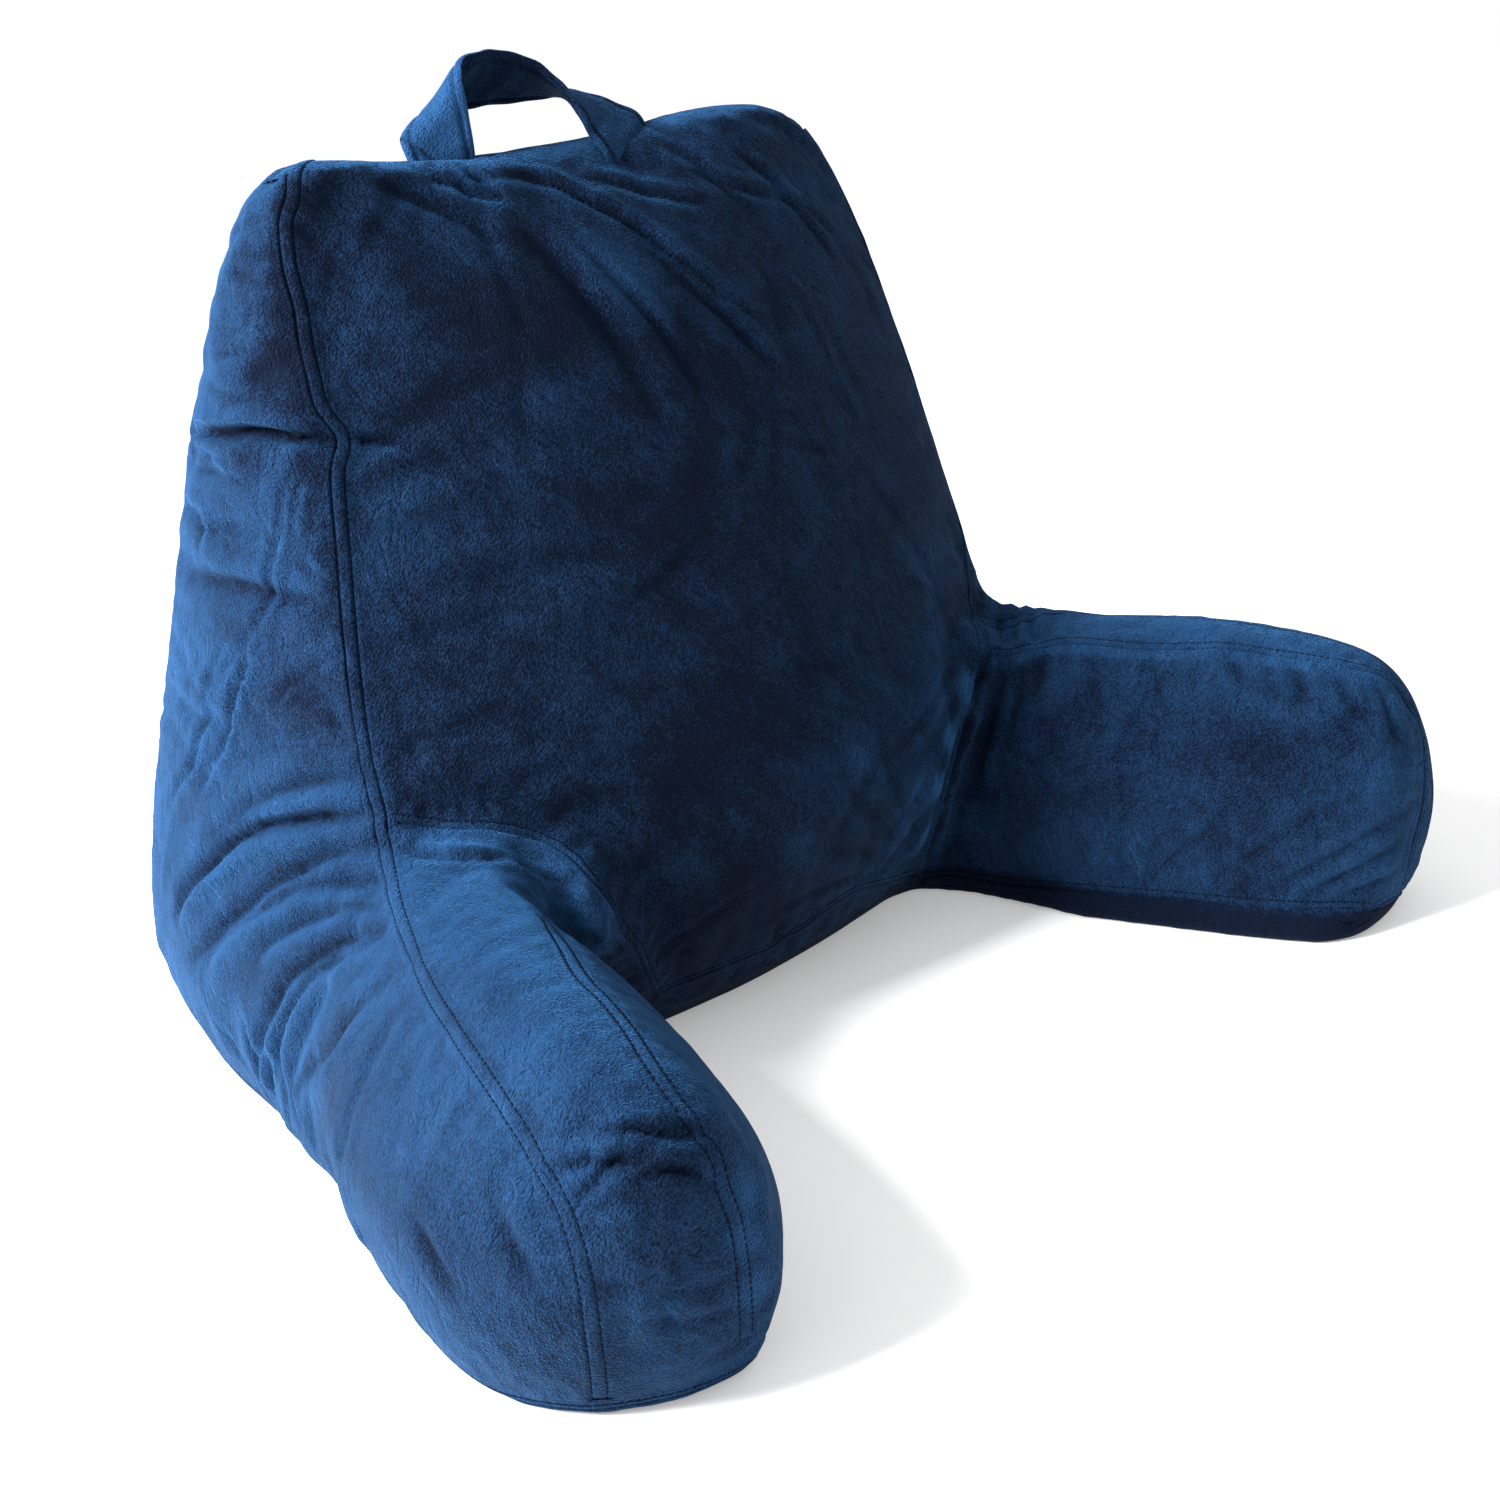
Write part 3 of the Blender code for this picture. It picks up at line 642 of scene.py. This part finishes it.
surface = Surface(skin)
seamIndex, seamAway = nearestOfMany(skinPoints, seamSamples)
shift = np.zeros(len(skinPoints))
handCreases(shift)
smallCreases(shift)
seamPuckers(shift)
shift *= np.clip((skinPoints[:, 2] - 0.002) / 0.012, 0, 1)
setPoints(skin.data, skinPoints + skinNormals * shift[:, None])
skinPoints, skinNormals = meshArrays(skin.data)
surface = Surface(skin)
print("creases pressed")


# Seam strips: across the path in millimetres, and the height there. The felled kind is a raised band
# between two stitched grooves, the plain kind one groove with a stitched line beside it. The flanges
# lie flush with the cloth and end a little under it.
stripProfile = {
    "felled": [(-9.0, -0.30), (-7.0, 0.10), (-5.2, 0.14), (-4.2, 0.08), (-3.7, -0.6), (-3.35, -1.0),
        (-3.0, -0.4), (-2.5, 0.4), (-1.5, 0.7), (0.0, 0.75), (1.5, 0.7), (2.5, 0.4), (3.0, -0.4),
        (3.35, -1.0), (3.7, -0.6), (4.2, 0.08), (5.2, 0.14), (7.0, 0.10), (9.0, -0.30)],
    "plain": [(-8.0, -0.30), (-6.0, 0.10), (-3.0, 0.35), (-1.3, 0.15), (-0.5, -1.1), (0.0, -1.5),
        (0.5, -1.1), (1.3, 0.2), (2.4, 0.45), (3.4, 0.35), (3.9, -0.2), (4.3, -0.5), (4.7, -0.2),
        (5.4, 0.15), (6.8, 0.10), (8.6, -0.30)],
}
felledSeams = ("leftOuter", "rightOuter", "leftInner")
# where the stitches run on each kind, in millimetres, and the seam that is hidden in its fold
stitchPlaces = {"felled": (-3.35, 3.35), "plain": (4.3,)}
unstitched = ("rightPanel",)
# how strong each seam's relief is at its start and its end
seamRelief = {"leftOuter": (1.1, 0.45), "leftInner": (0.4, 0.3), "rightOuter": (1.0, 0.5),
              "rightInner": (1.0, 0.9), "rightPanel": (0.3, 0.3)}
stitchLines = []


def seamStrip(name, path, facing):
    # point (i, j) = the skin at path i + across j to the side, raised along its normal by profile j times
    # relief i within 5 mm of the seam; the relief wanders by a quarter along it
    kind = "felled" if name in felledSeams else "plain"
    across, height = np.array(stripProfile[kind]).T / 1000
    path = spline(path, 0.0016)
    path, facing = surface.drop(path)
    facing = unit(smoothRows(facing, 6))
    side = unit(np.cross(facing, np.gradient(path, axis=0)))
    spots = path[:, None] + side[:, None] * across[None, :, None]
    dropped, normals = surface.drop(spots.reshape(-1, 3))
    dropped = smoothRows(dropped.reshape(spots.shape), 1)
    normals = unit(smoothRows(normals.reshape(spots.shape), 4))
    strong, weak = seamRelief.get(name, (0.85, 0.85))
    relief = strong + (weak - strong) * np.clip((np.linspace(0, 1, len(path)) - 0.35) / 0.3, 0, 1)
    relief *= 1 + 0.25 * np.sin(np.arange(len(path)) * 0.11 + rng.uniform(0, 6))
    rise = np.where(np.abs(across) < 0.0050, height[None] * relief[:, None], height[None])
    rows = dropped + normals * rise[:, :, None]
    rows[:, :, 2] = np.maximum(rows[:, :, 2], 0.0)
    for place in () if name in unstitched else stitchPlaces[kind]:
        column = int(np.abs(across * 1000 - place).argmin())
        stitchLines.append((rows[:, column], normals[:, column], side))
    return rows.reshape(-1, 3), gridFaces(len(path), len(across))[:, ::-1]


def joinParts(parts):
    points, faces, start = [], [], 0
    for p, f in parts:
        points.append(p)
        faces.append(f + start)
        start += len(p)
    return np.vstack(points), np.vstack(faces)


strips = [seamStrip(name, path, facing) for name, (path, facing) in seams.items()]
seamBands = makeMesh("seamBands", *joinParts(strips))
print("seam bands:", len(seamBands.data.polygons))

# The skin sinks under the bands: 1.8 mm within 3.6 mm of a seam, back to nothing at 6.2 mm.
sunk = 0.0018 * np.clip((0.0062 - seamAway) / 0.0026, 0, 1)
setPoints(skin.data, skinPoints - skinNormals * sunk[:, None])
skinPoints, skinNormals = meshArrays(skin.data)

# Tone of the cloth, from 0, deep, to 1, pale: the nap's lie mixed with painted light and shade by the way the cloth
# faces the key light, then nap patches, painted highlights and painted shade spots, each a pixel with its radius in
# millimetres and amount.
patchAndLightTable = [
    (610, 262, 22, 0.5), (642, 302, 15, 0.4), (556, 392, 12, 0.3), (683, 857, 12, 0.36),
    (860, 756, 16, 0.44), (922, 786, 14, 0.46), (672, 118, 10, 0.9), (700, 122, 8, 0.6),
    (936, 700, 14, 0.34), (781, 654, 14, 0.28), (905, 830, 16, 0.36), (804, 838, 12, 0.28),
    (930, 640, 12, 0.2), (560, 320, 20, -0.16), (600, 420, 26, -0.14), (700, 760, 34, -0.16),
    (740, 900, 30, -0.12), (470, 300, 20, -0.08), (720, 240, 16, 0.1), (380, 330, 34, 0.26),
    (430, 560, 40, 0.28), (410, 700, 30, 0.18), (370, 480, 24, 0.16), (360, 720, 20, -0.1),
    (480, 700, 26, 0.08), (626, 1160, 26, -0.5), (672, 1150, 18, -0.4), (436, 1250, 22, -0.36),
    (420, 1224, 12, -0.2), (700, 1240, 22, -0.18), (640, 1260, 24, -0.22), (750, 1240, 10, 1.2),
    (750, 1190, 9, 1.1), (754, 1290, 9, 1.1), (560, 1000, 30, 0.06), (500, 1240, 18, -0.16),
    (540, 1330, 22, -0.14), (1170, 740, 26, -0.12), (1220, 800, 24, -0.1), (1060, 760, 20, -0.06),
    (970, 820, 16, 0.14), (1392, 780, 22, 0.34), (1100, 630, 20, 0.5), (1200, 638, 20, 0.4),
    (1300, 652, 18, 0.4), (240, 260, 16, -0.4), (264, 316, 22, -0.5), (270, 350, 14, -0.3),
    (250, 456, 12, -0.45), (300, 456, 12, -0.45), (270, 608, 14, -0.5), (312, 618, 14, -0.5),
    (300, 690, 22, -0.42), (322, 742, 20, -0.36), (250, 724, 12, -0.32), (280, 395, 14, -0.2),
    (320, 560, 14, -0.12), (330, 610, 14, -0.16), (206, 500, 10, 0.14), (200, 640, 16, 0.12),
    (180, 850, 18, 0.14), (270, 700, 20, -0.14), (420, 205, 14, -0.14), (540, 210, 20, -0.12),
    (440, 842, 10, 0.5), (500, 842, 11, 0.5), (545, 856, 11, 0.46), (578, 888, 13, 0.32),
    (602, 918, 13, 0.28), (626, 956, 12, 0.2), (1390, 700, 16, 0.24), (1350, 860, 24, 0.2),
    (986, 640, 5, -0.5), (980, 676, 5, -0.5), (966, 726, 5, -0.5), (952, 776, 5, -0.5),
    (938, 826, 5, -0.5), (976, 636, 8, 0.7), (966, 688, 8, 1.3), (950, 738, 8, 1.5), (938, 788, 9, 1.5),
    (926, 836, 8, 1.2), (455, 172, 9, 0.75), (480, 182, 8, 0.65), (536, 892, 15, 0.6), (552, 912, 16, 0.7),
    (576, 926, 15, 0.6), (600, 950, 13, 0.5), (1300, 700, 10, -0.16), (1346, 712, 9, -0.18),
    (1238, 690, 8, -0.1), (1100, 700, 12, -0.08), (1160, 690, 9, -0.08), (1030, 622, 12, 0.18),
    (1340, 650, 14, 0.12),
]


# How far each place departs from the even tone, by nap and by painted light and shade, and the value's own limits.
napAndLightSetup = {"even": 0.62, "front": 0.46, "seatSideShade": 0.26, "top": 0.42, "turned": 0.85, "footShade": 1.00,
             "darkMarks": 0.7, "least": -0.5, "most": 2.1}


def napAndLightTone():
    x, y, z = skinPoints.T
    facingX, facingY, facingZ = skinNormals.T
    napAndLight = np.full(len(skinPoints), napAndLightSetup["even"])
    # the front panel is darker: partly the nap, partly painted shade where it faces away from the key light
    front = ramp(-facingY, 0.35, 0.4) * ramp(y, -0.075, 0.02)
    front *= np.clip((0.24 - np.abs(x + 0.007)) / 0.03, 0, 1)
    napAndLight -= napAndLightSetup["front"] * front
    # painted shade on the right arm's inner wall, on the seat side, which the back keeps from the key light
    napAndLight -= napAndLightSetup["seatSideShade"] * ramp(-facingX, 0.5, 0.3) * (x > 0.1) * (y < 0.02)
    # painted light on tops that face up towards the light
    napAndLight += napAndLightSetup["top"] * ramp(facingZ, 0.50, 0.35)
    # painted highlight: the left gusset is palest where it turns to the rear, a rim lit from the left
    turned = ramp(facingY, 0.05, 0.40) * ramp(-facingX, 0.35, 0.40)
    napAndLight += napAndLightSetup["turned"] * turned * ramp(z, 0.03, 0.03) * ramp(y, -0.03, 0.05)
    napAndLight += front * 0.08 * np.clip((x - 0.04) / 0.1, -0.4, 1)
    # painted shade: the foot's edge is darkened on the seat side, where it lies in shadow
    footShade = ramp(-z, -0.022, 0.006) * ramp(x, -0.19, 0.04)
    napAndLight -= napAndLightSetup["footShade"] * footShade * ramp(-facingX, -0.45, 0.3) * ramp(-facingY, -0.20, 0.2)
    # nap patches, painted highlights on lit rims and seam edges, and painted shade in hollows and valleys, the dark
    # ones scaled down
    for u, v, radius, amount in patchAndLightTable:
        spot = surface.cast([(u, v)])[0]
        away = np.linalg.norm((skinPoints - spot), axis=1)
        napAndLight += (amount if amount > 0 else napAndLightSetup["darkMarks"] * amount) * np.exp(-(away / (radius / 1000)) ** 2)
    # painted shade in a crease's bottom and a painted highlight on its lip
    napAndLight += np.clip(shift * 120, -0.5, 0.34) - np.clip((-shift - 0.0045) * 150, 0, 0.6)
    return np.clip(spread(skin.data, napAndLight, 1), napAndLightSetup["least"], napAndLightSetup["most"])


napAndLight = napAndLightTone()


def setNapAndLight(item, values):
    mark = item.data.attributes.new("napAndLight", "FLOAT", "POINT")
    mark.data.foreach_set("value", np.ascontiguousarray(values, np.float32))


# the seam bands take the skin's tone, its painted light and shade included
setNapAndLight(seamBands, napAndLight[nearestOfMany(meshArrays(seamBands.data)[0], skinPoints)[0]])
print("pile laid")

# Stitches: one small bead of thread every 3.6 mm along each stitched groove.
stitchSetup = {"pitch": 0.0036, "length": 0.0026, "radius": 0.00038, "sides": 5}


def stitches():
    # bead point = centre + run t length + (cos a across + sin a up) swell(t) radius, 0.3 mm up
    parts = []
    turns = np.linspace(0, 2 * np.pi, stitchSetup["sides"], endpoint=False)
    t = np.array([-0.5, -0.3, 0.3, 0.5])
    swell = np.array([0.15, 1.0, 1.0, 0.15])
    for line, normals, side in stitchLines:
        length = lengthAlong(line)
        places = np.arange(0.002, length[-1] - 0.002, stitchSetup["pitch"])
        centre, up, across = (valuesAt(places, length, values) for values in (line, normals, side))
        run = unit(np.cross(across, up))
        ring = (np.cos(turns)[None, None, :, None] * across[:, None, None]
                + np.sin(turns)[None, None, :, None] * up[:, None, None])
        body = (centre[:, None, None] + run[:, None, None] * (t * stitchSetup["length"])[None, :, None, None]
                + ring * (swell * stitchSetup["radius"])[None, :, None, None] + up[:, None, None] * 0.0003)
        faces = gridFaces(len(t), len(turns), closed=True)
        whole = (np.arange(len(places)) * len(t) * len(turns))[:, None, None] + faces[None]
        parts.append((body.reshape(-1, 3), whole.reshape(-1, 4)))
    return joinParts(parts)


threads = makeMesh("seamThreads", *stitches())
print("stitches:", len(threads.data.polygons))

# The cover is parted into the record's cushion nodes, with the joined skin's own normals kept, so
# that no line shows between them.
coverSplit = {"armFront": -0.0335, "armOutside": 0.150, "middle": -0.007, "frontFacing": -0.1}


def partCover():
    mesh = skin.data
    count = len(mesh.polygons)
    corners = np.empty(len(mesh.loops), np.int64)
    mesh.loops.foreach_get("vertex_index", corners)
    faces = corners.reshape(count, 4)
    middle = skinPoints[faces].mean(axis=1)
    arm = middle[:, 1] < coverSplit["armFront"]
    arm &= np.abs(middle[:, 0] - coverSplit["middle"]) > coverSplit["armOutside"]
    pieces = {}
    # the back's front and rear are two pieces, to keep each under the size a piece may have
    front = ~arm & (skinNormals[faces].mean(axis=1)[:, 1] < coverSplit["frontFacing"])
    for name, node, chosen in (("coverFront", "back_cushion", front),
                               ("coverRear", "back_cushion", ~arm & ~front),
                               ("coverArmLeft", "arm_left", arm & (middle[:, 0] < 0)),
                               ("coverArmRight", "arm_right", arm & (middle[:, 0] > 0))):
        used, packed = np.unique(faces[chosen], return_inverse=True)
        item = makeMesh(name, skinPoints[used], packed.reshape(-1, 4))
        item.data.normals_split_custom_set_from_vertices(skinNormals[used].tolist())
        setNapAndLight(item, napAndLight[used])
        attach(item, "root")
        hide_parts(node)
        pieces[name] = item
        print(name, len(item.data.polygons) * 2, "triangles")
    bpy.data.objects.remove(skin)
    return pieces


pieces = partCover()
for item in (seamBands, threads):
    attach(item, "root")

# Ribbon handle: a doubled band, its front and back edge given in eleven places along it.
handleSetup = {"thickness": 0.005, "stitchIn": 0.005, "grooveWidth": 0.0011, "grooveDepth": 0.0013,
               "foldHeight": 0.485, "foldSlope": 1.2, "foldStart": 0.004, "leftLeg": -0.05}
handleRows = np.array([
    (-0.056, 0.096, 0.450, -0.092, 0.096, 0.450),
    (-0.056, 0.097, 0.478, -0.093, 0.101, 0.480),
    (-0.056, 0.098, 0.508, -0.091, 0.112, 0.500),
    (-0.054, 0.102, 0.532, -0.066, 0.124, 0.506),
    (-0.036, 0.106, 0.537, -0.044, 0.130, 0.507),
    (-0.018, 0.107, 0.534, -0.024, 0.131, 0.507),
    (-0.002, 0.102, 0.526, 0.004, 0.128, 0.507),
    (0.008, 0.094, 0.508, 0.028, 0.121, 0.508),
    (0.012, 0.085, 0.489, 0.050, 0.111, 0.501),
    (0.014, 0.0755, 0.475, 0.060, 0.098, 0.490),
    (0.022, 0.084, 0.462, 0.060, 0.100, 0.474)])
# the tone on the handle's outside, by place in X, with a painted highlight on the left leg that faces the light
handleOutsideLight = np.array([(-0.095, 2.1), (-0.060, 1.9), (-0.030, 0.7), (0.000, 0.6), (0.050, 0.9)])


def ribbonHandle():
    rows = handleRows + np.tile(partShift, 2)
    fine = catmullRom(rows, 15)
    front, back = fine[:, :3], fine[:, 3:]
    middle = (front + back) / 2
    width = np.linalg.norm(back - front, axis=1)[:, None]
    across = (back - front) / width
    up = unit(np.cross(np.gradient(middle, axis=0), across))
    # section: w from -1 to 1 across, thickness half (1 - w^8)^0.5, grooves 5 mm in from each edge
    w = np.sin(np.linspace(-np.pi / 2, np.pi / 2, 33))
    half = handleSetup["thickness"] / 2 * (1 - w ** 8) ** 0.5
    inset = 1 - 2 * handleSetup["stitchIn"] / width
    groove = np.exp(-(((np.abs(w)[None] - inset) * width / 2) / handleSetup["grooveWidth"]) ** 2)
    # one fold runs down across the left leg, from its outer edge to its middle
    spot = w[None] * width / 2
    off = middle[:, 2:] - handleSetup["foldHeight"]
    off = off - handleSetup["foldSlope"] * (spot - handleSetup["foldStart"])
    fold = np.exp(-(0.64 * off / handleSetup["grooveWidth"]) ** 2) * (middle[:, :1] < handleSetup["leftLeg"])
    groove = np.maximum(groove, fold * np.clip(spot / handleSetup["foldStart"], 0, 1))
    s = np.arange(len(fine))[:, None]
    ripple = 0.0007 * np.sin(s * 0.35 + 3 * w[None]) * np.sin(s * 0.13 + 1.0)
    lift = half[None] - groove * handleSetup["grooveDepth"]
    flat = middle[:, None] + across[:, None] * (w[None, :, None] * width[:, :, None] / 2)
    top = flat + up[:, None] * (lift + ripple)[:, :, None]
    low = flat + up[:, None] * (ripple - lift)[:, :, None]
    ring = np.concatenate([top, low[:, -2:0:-1]], axis=1)
    # painted light and shade: pale on the outside, most on the left leg, painted shade on the inside and in the
    # grooves
    outside = np.interp(middle[:, 0], *handleOutsideLight.T)[:, None] - 1.1 * groove
    inside = 0.12 - 0.2 * groove[:, -2:0:-1]
    handleLightAndShade = np.clip(np.concatenate([outside, inside], axis=1), 0, napAndLightSetup["most"])
    return ring.reshape(-1, 3), gridFaces(len(fine), ring.shape[1], closed=True)[:, ::-1], handleLightAndShade.ravel()


handlePoints, handleFaces, handleNapAndLight = ribbonHandle()
handle = makeMesh("ribbonHandle", handlePoints, handleFaces)
setNapAndLight(handle, handleNapAndLight)
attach(handle, "root")
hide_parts("handle_strap")
print("handle:", len(handle.data.polygons))


def linear(code):
    # sRGB hex code to linear red, green and blue
    values = [int(code[i:i + 2], 16) / 255 for i in (1, 3, 5)]
    return [v / 12.92 if v <= 0.04045 else ((v + 0.055) / 1.055) ** 2.4 for v in values] + [1.0]


def setInputs(node, values):
    for key, value in values.items():
        if isinstance(value, bpy.types.NodeSocket):
            node.id_data.links.new(value, node.inputs[key])
        else:
            node.inputs[key].default_value = value


def addNode(tree, kind, inputs, out=0, **settings):
    # a new node, given back as its first output or the one named
    node = tree.nodes.new("ShaderNode" + kind)
    for key, value in settings.items():
        setattr(node, key, value)
    setInputs(node, inputs)
    return node.outputs[out]


def newMaterial(name, inputs):
    made = bpy.data.materials.new(name)
    made.use_nodes = True
    setInputs(made.node_tree.nodes["Principled BSDF"], inputs)
    return made


velourSetup = {"deep": "#020a1c", "light": "#112b49", "sheen": 0.38, "sheenTint": "#4f9be8"}
# Each pattern's size in millimetres, its detail, roughness and distortion, how it is turned and how far it
# is drawn out along Z: patches as wide as a hand, streaks as wide as a finger, tufts of pile, coarser
# than real ones so that they show, and crush lines a thumb apart.
patternTable = {"patches": (76.92, 4.0, 0.6, 1.0, (0.0, 0.0, 0.0), 1.0),
                "streaks": (10.526, 4.0, 0.6, 1.2, (0.15, -0.644, 0.0), 4.5),
                "tufts": (1.0, 1.5, 0.6, 0.0, (0.2, 0.9, 0.1), 1.5),
                "crush": (29.41, 2.0, 0.55, 0.8, (0.1, -0.35, 0.2), 2.6)}


# Crushed velour: the eye gets a deep navy with lighter patches where the pile leans another way and where light and
# shade are painted in through the tone attribute, a fine short grain, and a pale blue bloom where the cloth turns
# away.
def velour(name):
    made = newMaterial(name, {"Roughness": 0.85, "Specular IOR Level": 0.06, "Sheen Roughness": 0.22,
                              "Sheen Tint": linear(velourSetup["sheenTint"])})
    tree = made.node_tree
    place = addNode(tree, "TexCoord", {}, "Object")
    napAndLightInput = addNode(tree, "Attribute", {}, "Fac", attribute_name="napAndLight")
    noise = {}
    for key, (size, detail, roughness, distortion, turn, drawn) in patternTable.items():
        spot = addNode(tree, "Mapping", {"Vector": place, "Rotation": turn, "Scale": (1.0, 1.0, drawn)},
                       vector_type="TEXTURE")
        noise[key] = addNode(tree, "TexNoise", {"Vector": spot, "Scale": 1000.0 / size, "Detail": detail,
                                                "Roughness": roughness, "Distortion": distortion}, "Fac")
    # tone = the nap with painted light and shade + 1.5 (patches - 0.5) + 0.9 (streaks - 0.5) + 2.1 (tufts - 0.5),
    # kept from 0 to 2.2; above 1 it runs past the light colour for the painted highlights
    tone = napAndLightInput
    for key, weight in (("patches", 1.5), ("streaks", 0.9), ("tufts", 2.1)):
        part = addNode(tree, "Math", {0: noise[key], 1: 0.5}, operation="SUBTRACT")
        tone = addNode(tree, "Math", {0: part, 1: weight, 2: tone}, operation="MULTIPLY_ADD")
    tone = addNode(tree, "Clamp", {"Value": tone, "Min": 0.0, "Max": 2.2})
    ends = {0: tone, 6: linear(velourSetup["deep"]), 7: linear(velourSetup["light"])}
    colour = addNode(tree, "Mix", ends, 2, data_type="RGBA", clamp_factor=False)
    # crush lines: 1 - |crush - 0.5| / 0.035, only where the patches' noise is high
    line = addNode(tree, "Math", {0: noise["crush"], 1: 0.5}, operation="SUBTRACT")
    line = addNode(tree, "Math", {0: line}, operation="ABSOLUTE")
    line = addNode(tree, "MapRange", {0: line, 1: 0.0, 2: 0.035, 3: 1.0, 4: 0.0})
    sparse = addNode(tree, "MapRange", {0: noise["patches"], 1: 0.48, 2: 0.60, 3: 0.0, 4: 1.0})
    line = addNode(tree, "Math", {0: line, 1: sparse}, operation="MULTIPLY")
    height = addNode(tree, "Math", {0: line, 1: -0.5, 2: noise["streaks"]}, operation="MULTIPLY_ADD")
    creased = addNode(tree, "Bump", {"Height": height, "Strength": 0.55, "Distance": 0.0035})
    bump = addNode(tree, "Bump", {"Height": noise["tufts"], "Strength": 1.0, "Distance": 0.0018,
                                  "Normal": creased})
    # the bloom follows the tone attribute, fading where the pile lies flat and in the painted shade: 0.05 at 0, its
    # full value from 0.8
    bloom = addNode(tree, "MapRange", {0: napAndLightInput, 1: 0.0, 2: 0.8, 3: 0.05, 4: velourSetup["sheen"]})
    setInputs(tree.nodes["Principled BSDF"], {"Base Color": colour, "Normal": bump, "Sheen Weight": bloom})
    return made


cloth = velour("crushed velour")
for item in list(pieces.values()) + [seamBands, handle]:
    item.data.materials.append(cloth)
# Sewing thread: a dull dark blue that only just shows in the grooves.
threads.data.materials.append(newMaterial("twisted polyester thread", {
    "Base Color": linear("#050b18"), "Roughness": 0.9, "Specular IOR Level": 0.05}))
print("materials set")

# Plain pale floor and backdrop, soft light from the left and above.
stageSetup = {"floorSize": 60.0,
              "floor": {"Base Color": (0.92, 0.92, 0.92, 1.0), "Roughness": 0.9,
                        "Emission Color": (1.0, 1.0, 1.0, 1.0), "Emission Strength": 0.28},
              "world": {"Color": (1.0, 1.0, 1.0, 1.0), "Strength": 0.78}}


def makeStage():
    bpy.ops.mesh.primitive_plane_add(size=stageSetup["floorSize"], location=(0, 0, 0))
    floor = bpy.context.object
    floor.name = "paleFloor"
    floor.data.materials.append(newMaterial("matt white floor", stageSetup["floor"]))
    world = bpy.data.worlds.new("studio")
    bpy.context.scene.world = world
    world.use_nodes = True
    setInputs(world.node_tree.nodes["Background"], stageSetup["world"])


def areaLight(name, place, target, size, power):
    lamp = bpy.data.lights.new(name, "AREA")
    lamp.size = size
    lamp.energy = power
    item = addObject(name, lamp)
    item.location = place
    item.rotation_mode = "QUATERNION"
    item.rotation_quaternion = (Vector(target) - Vector(place)).to_track_quat("-Z", "Y")


makeStage()
areaLight("keyLeft", (-1.5, 0.35, 1.2), (-0.1, 0, 0.25), 0.8, 150)
bpy.context.scene.view_settings.view_transform = "Standard"
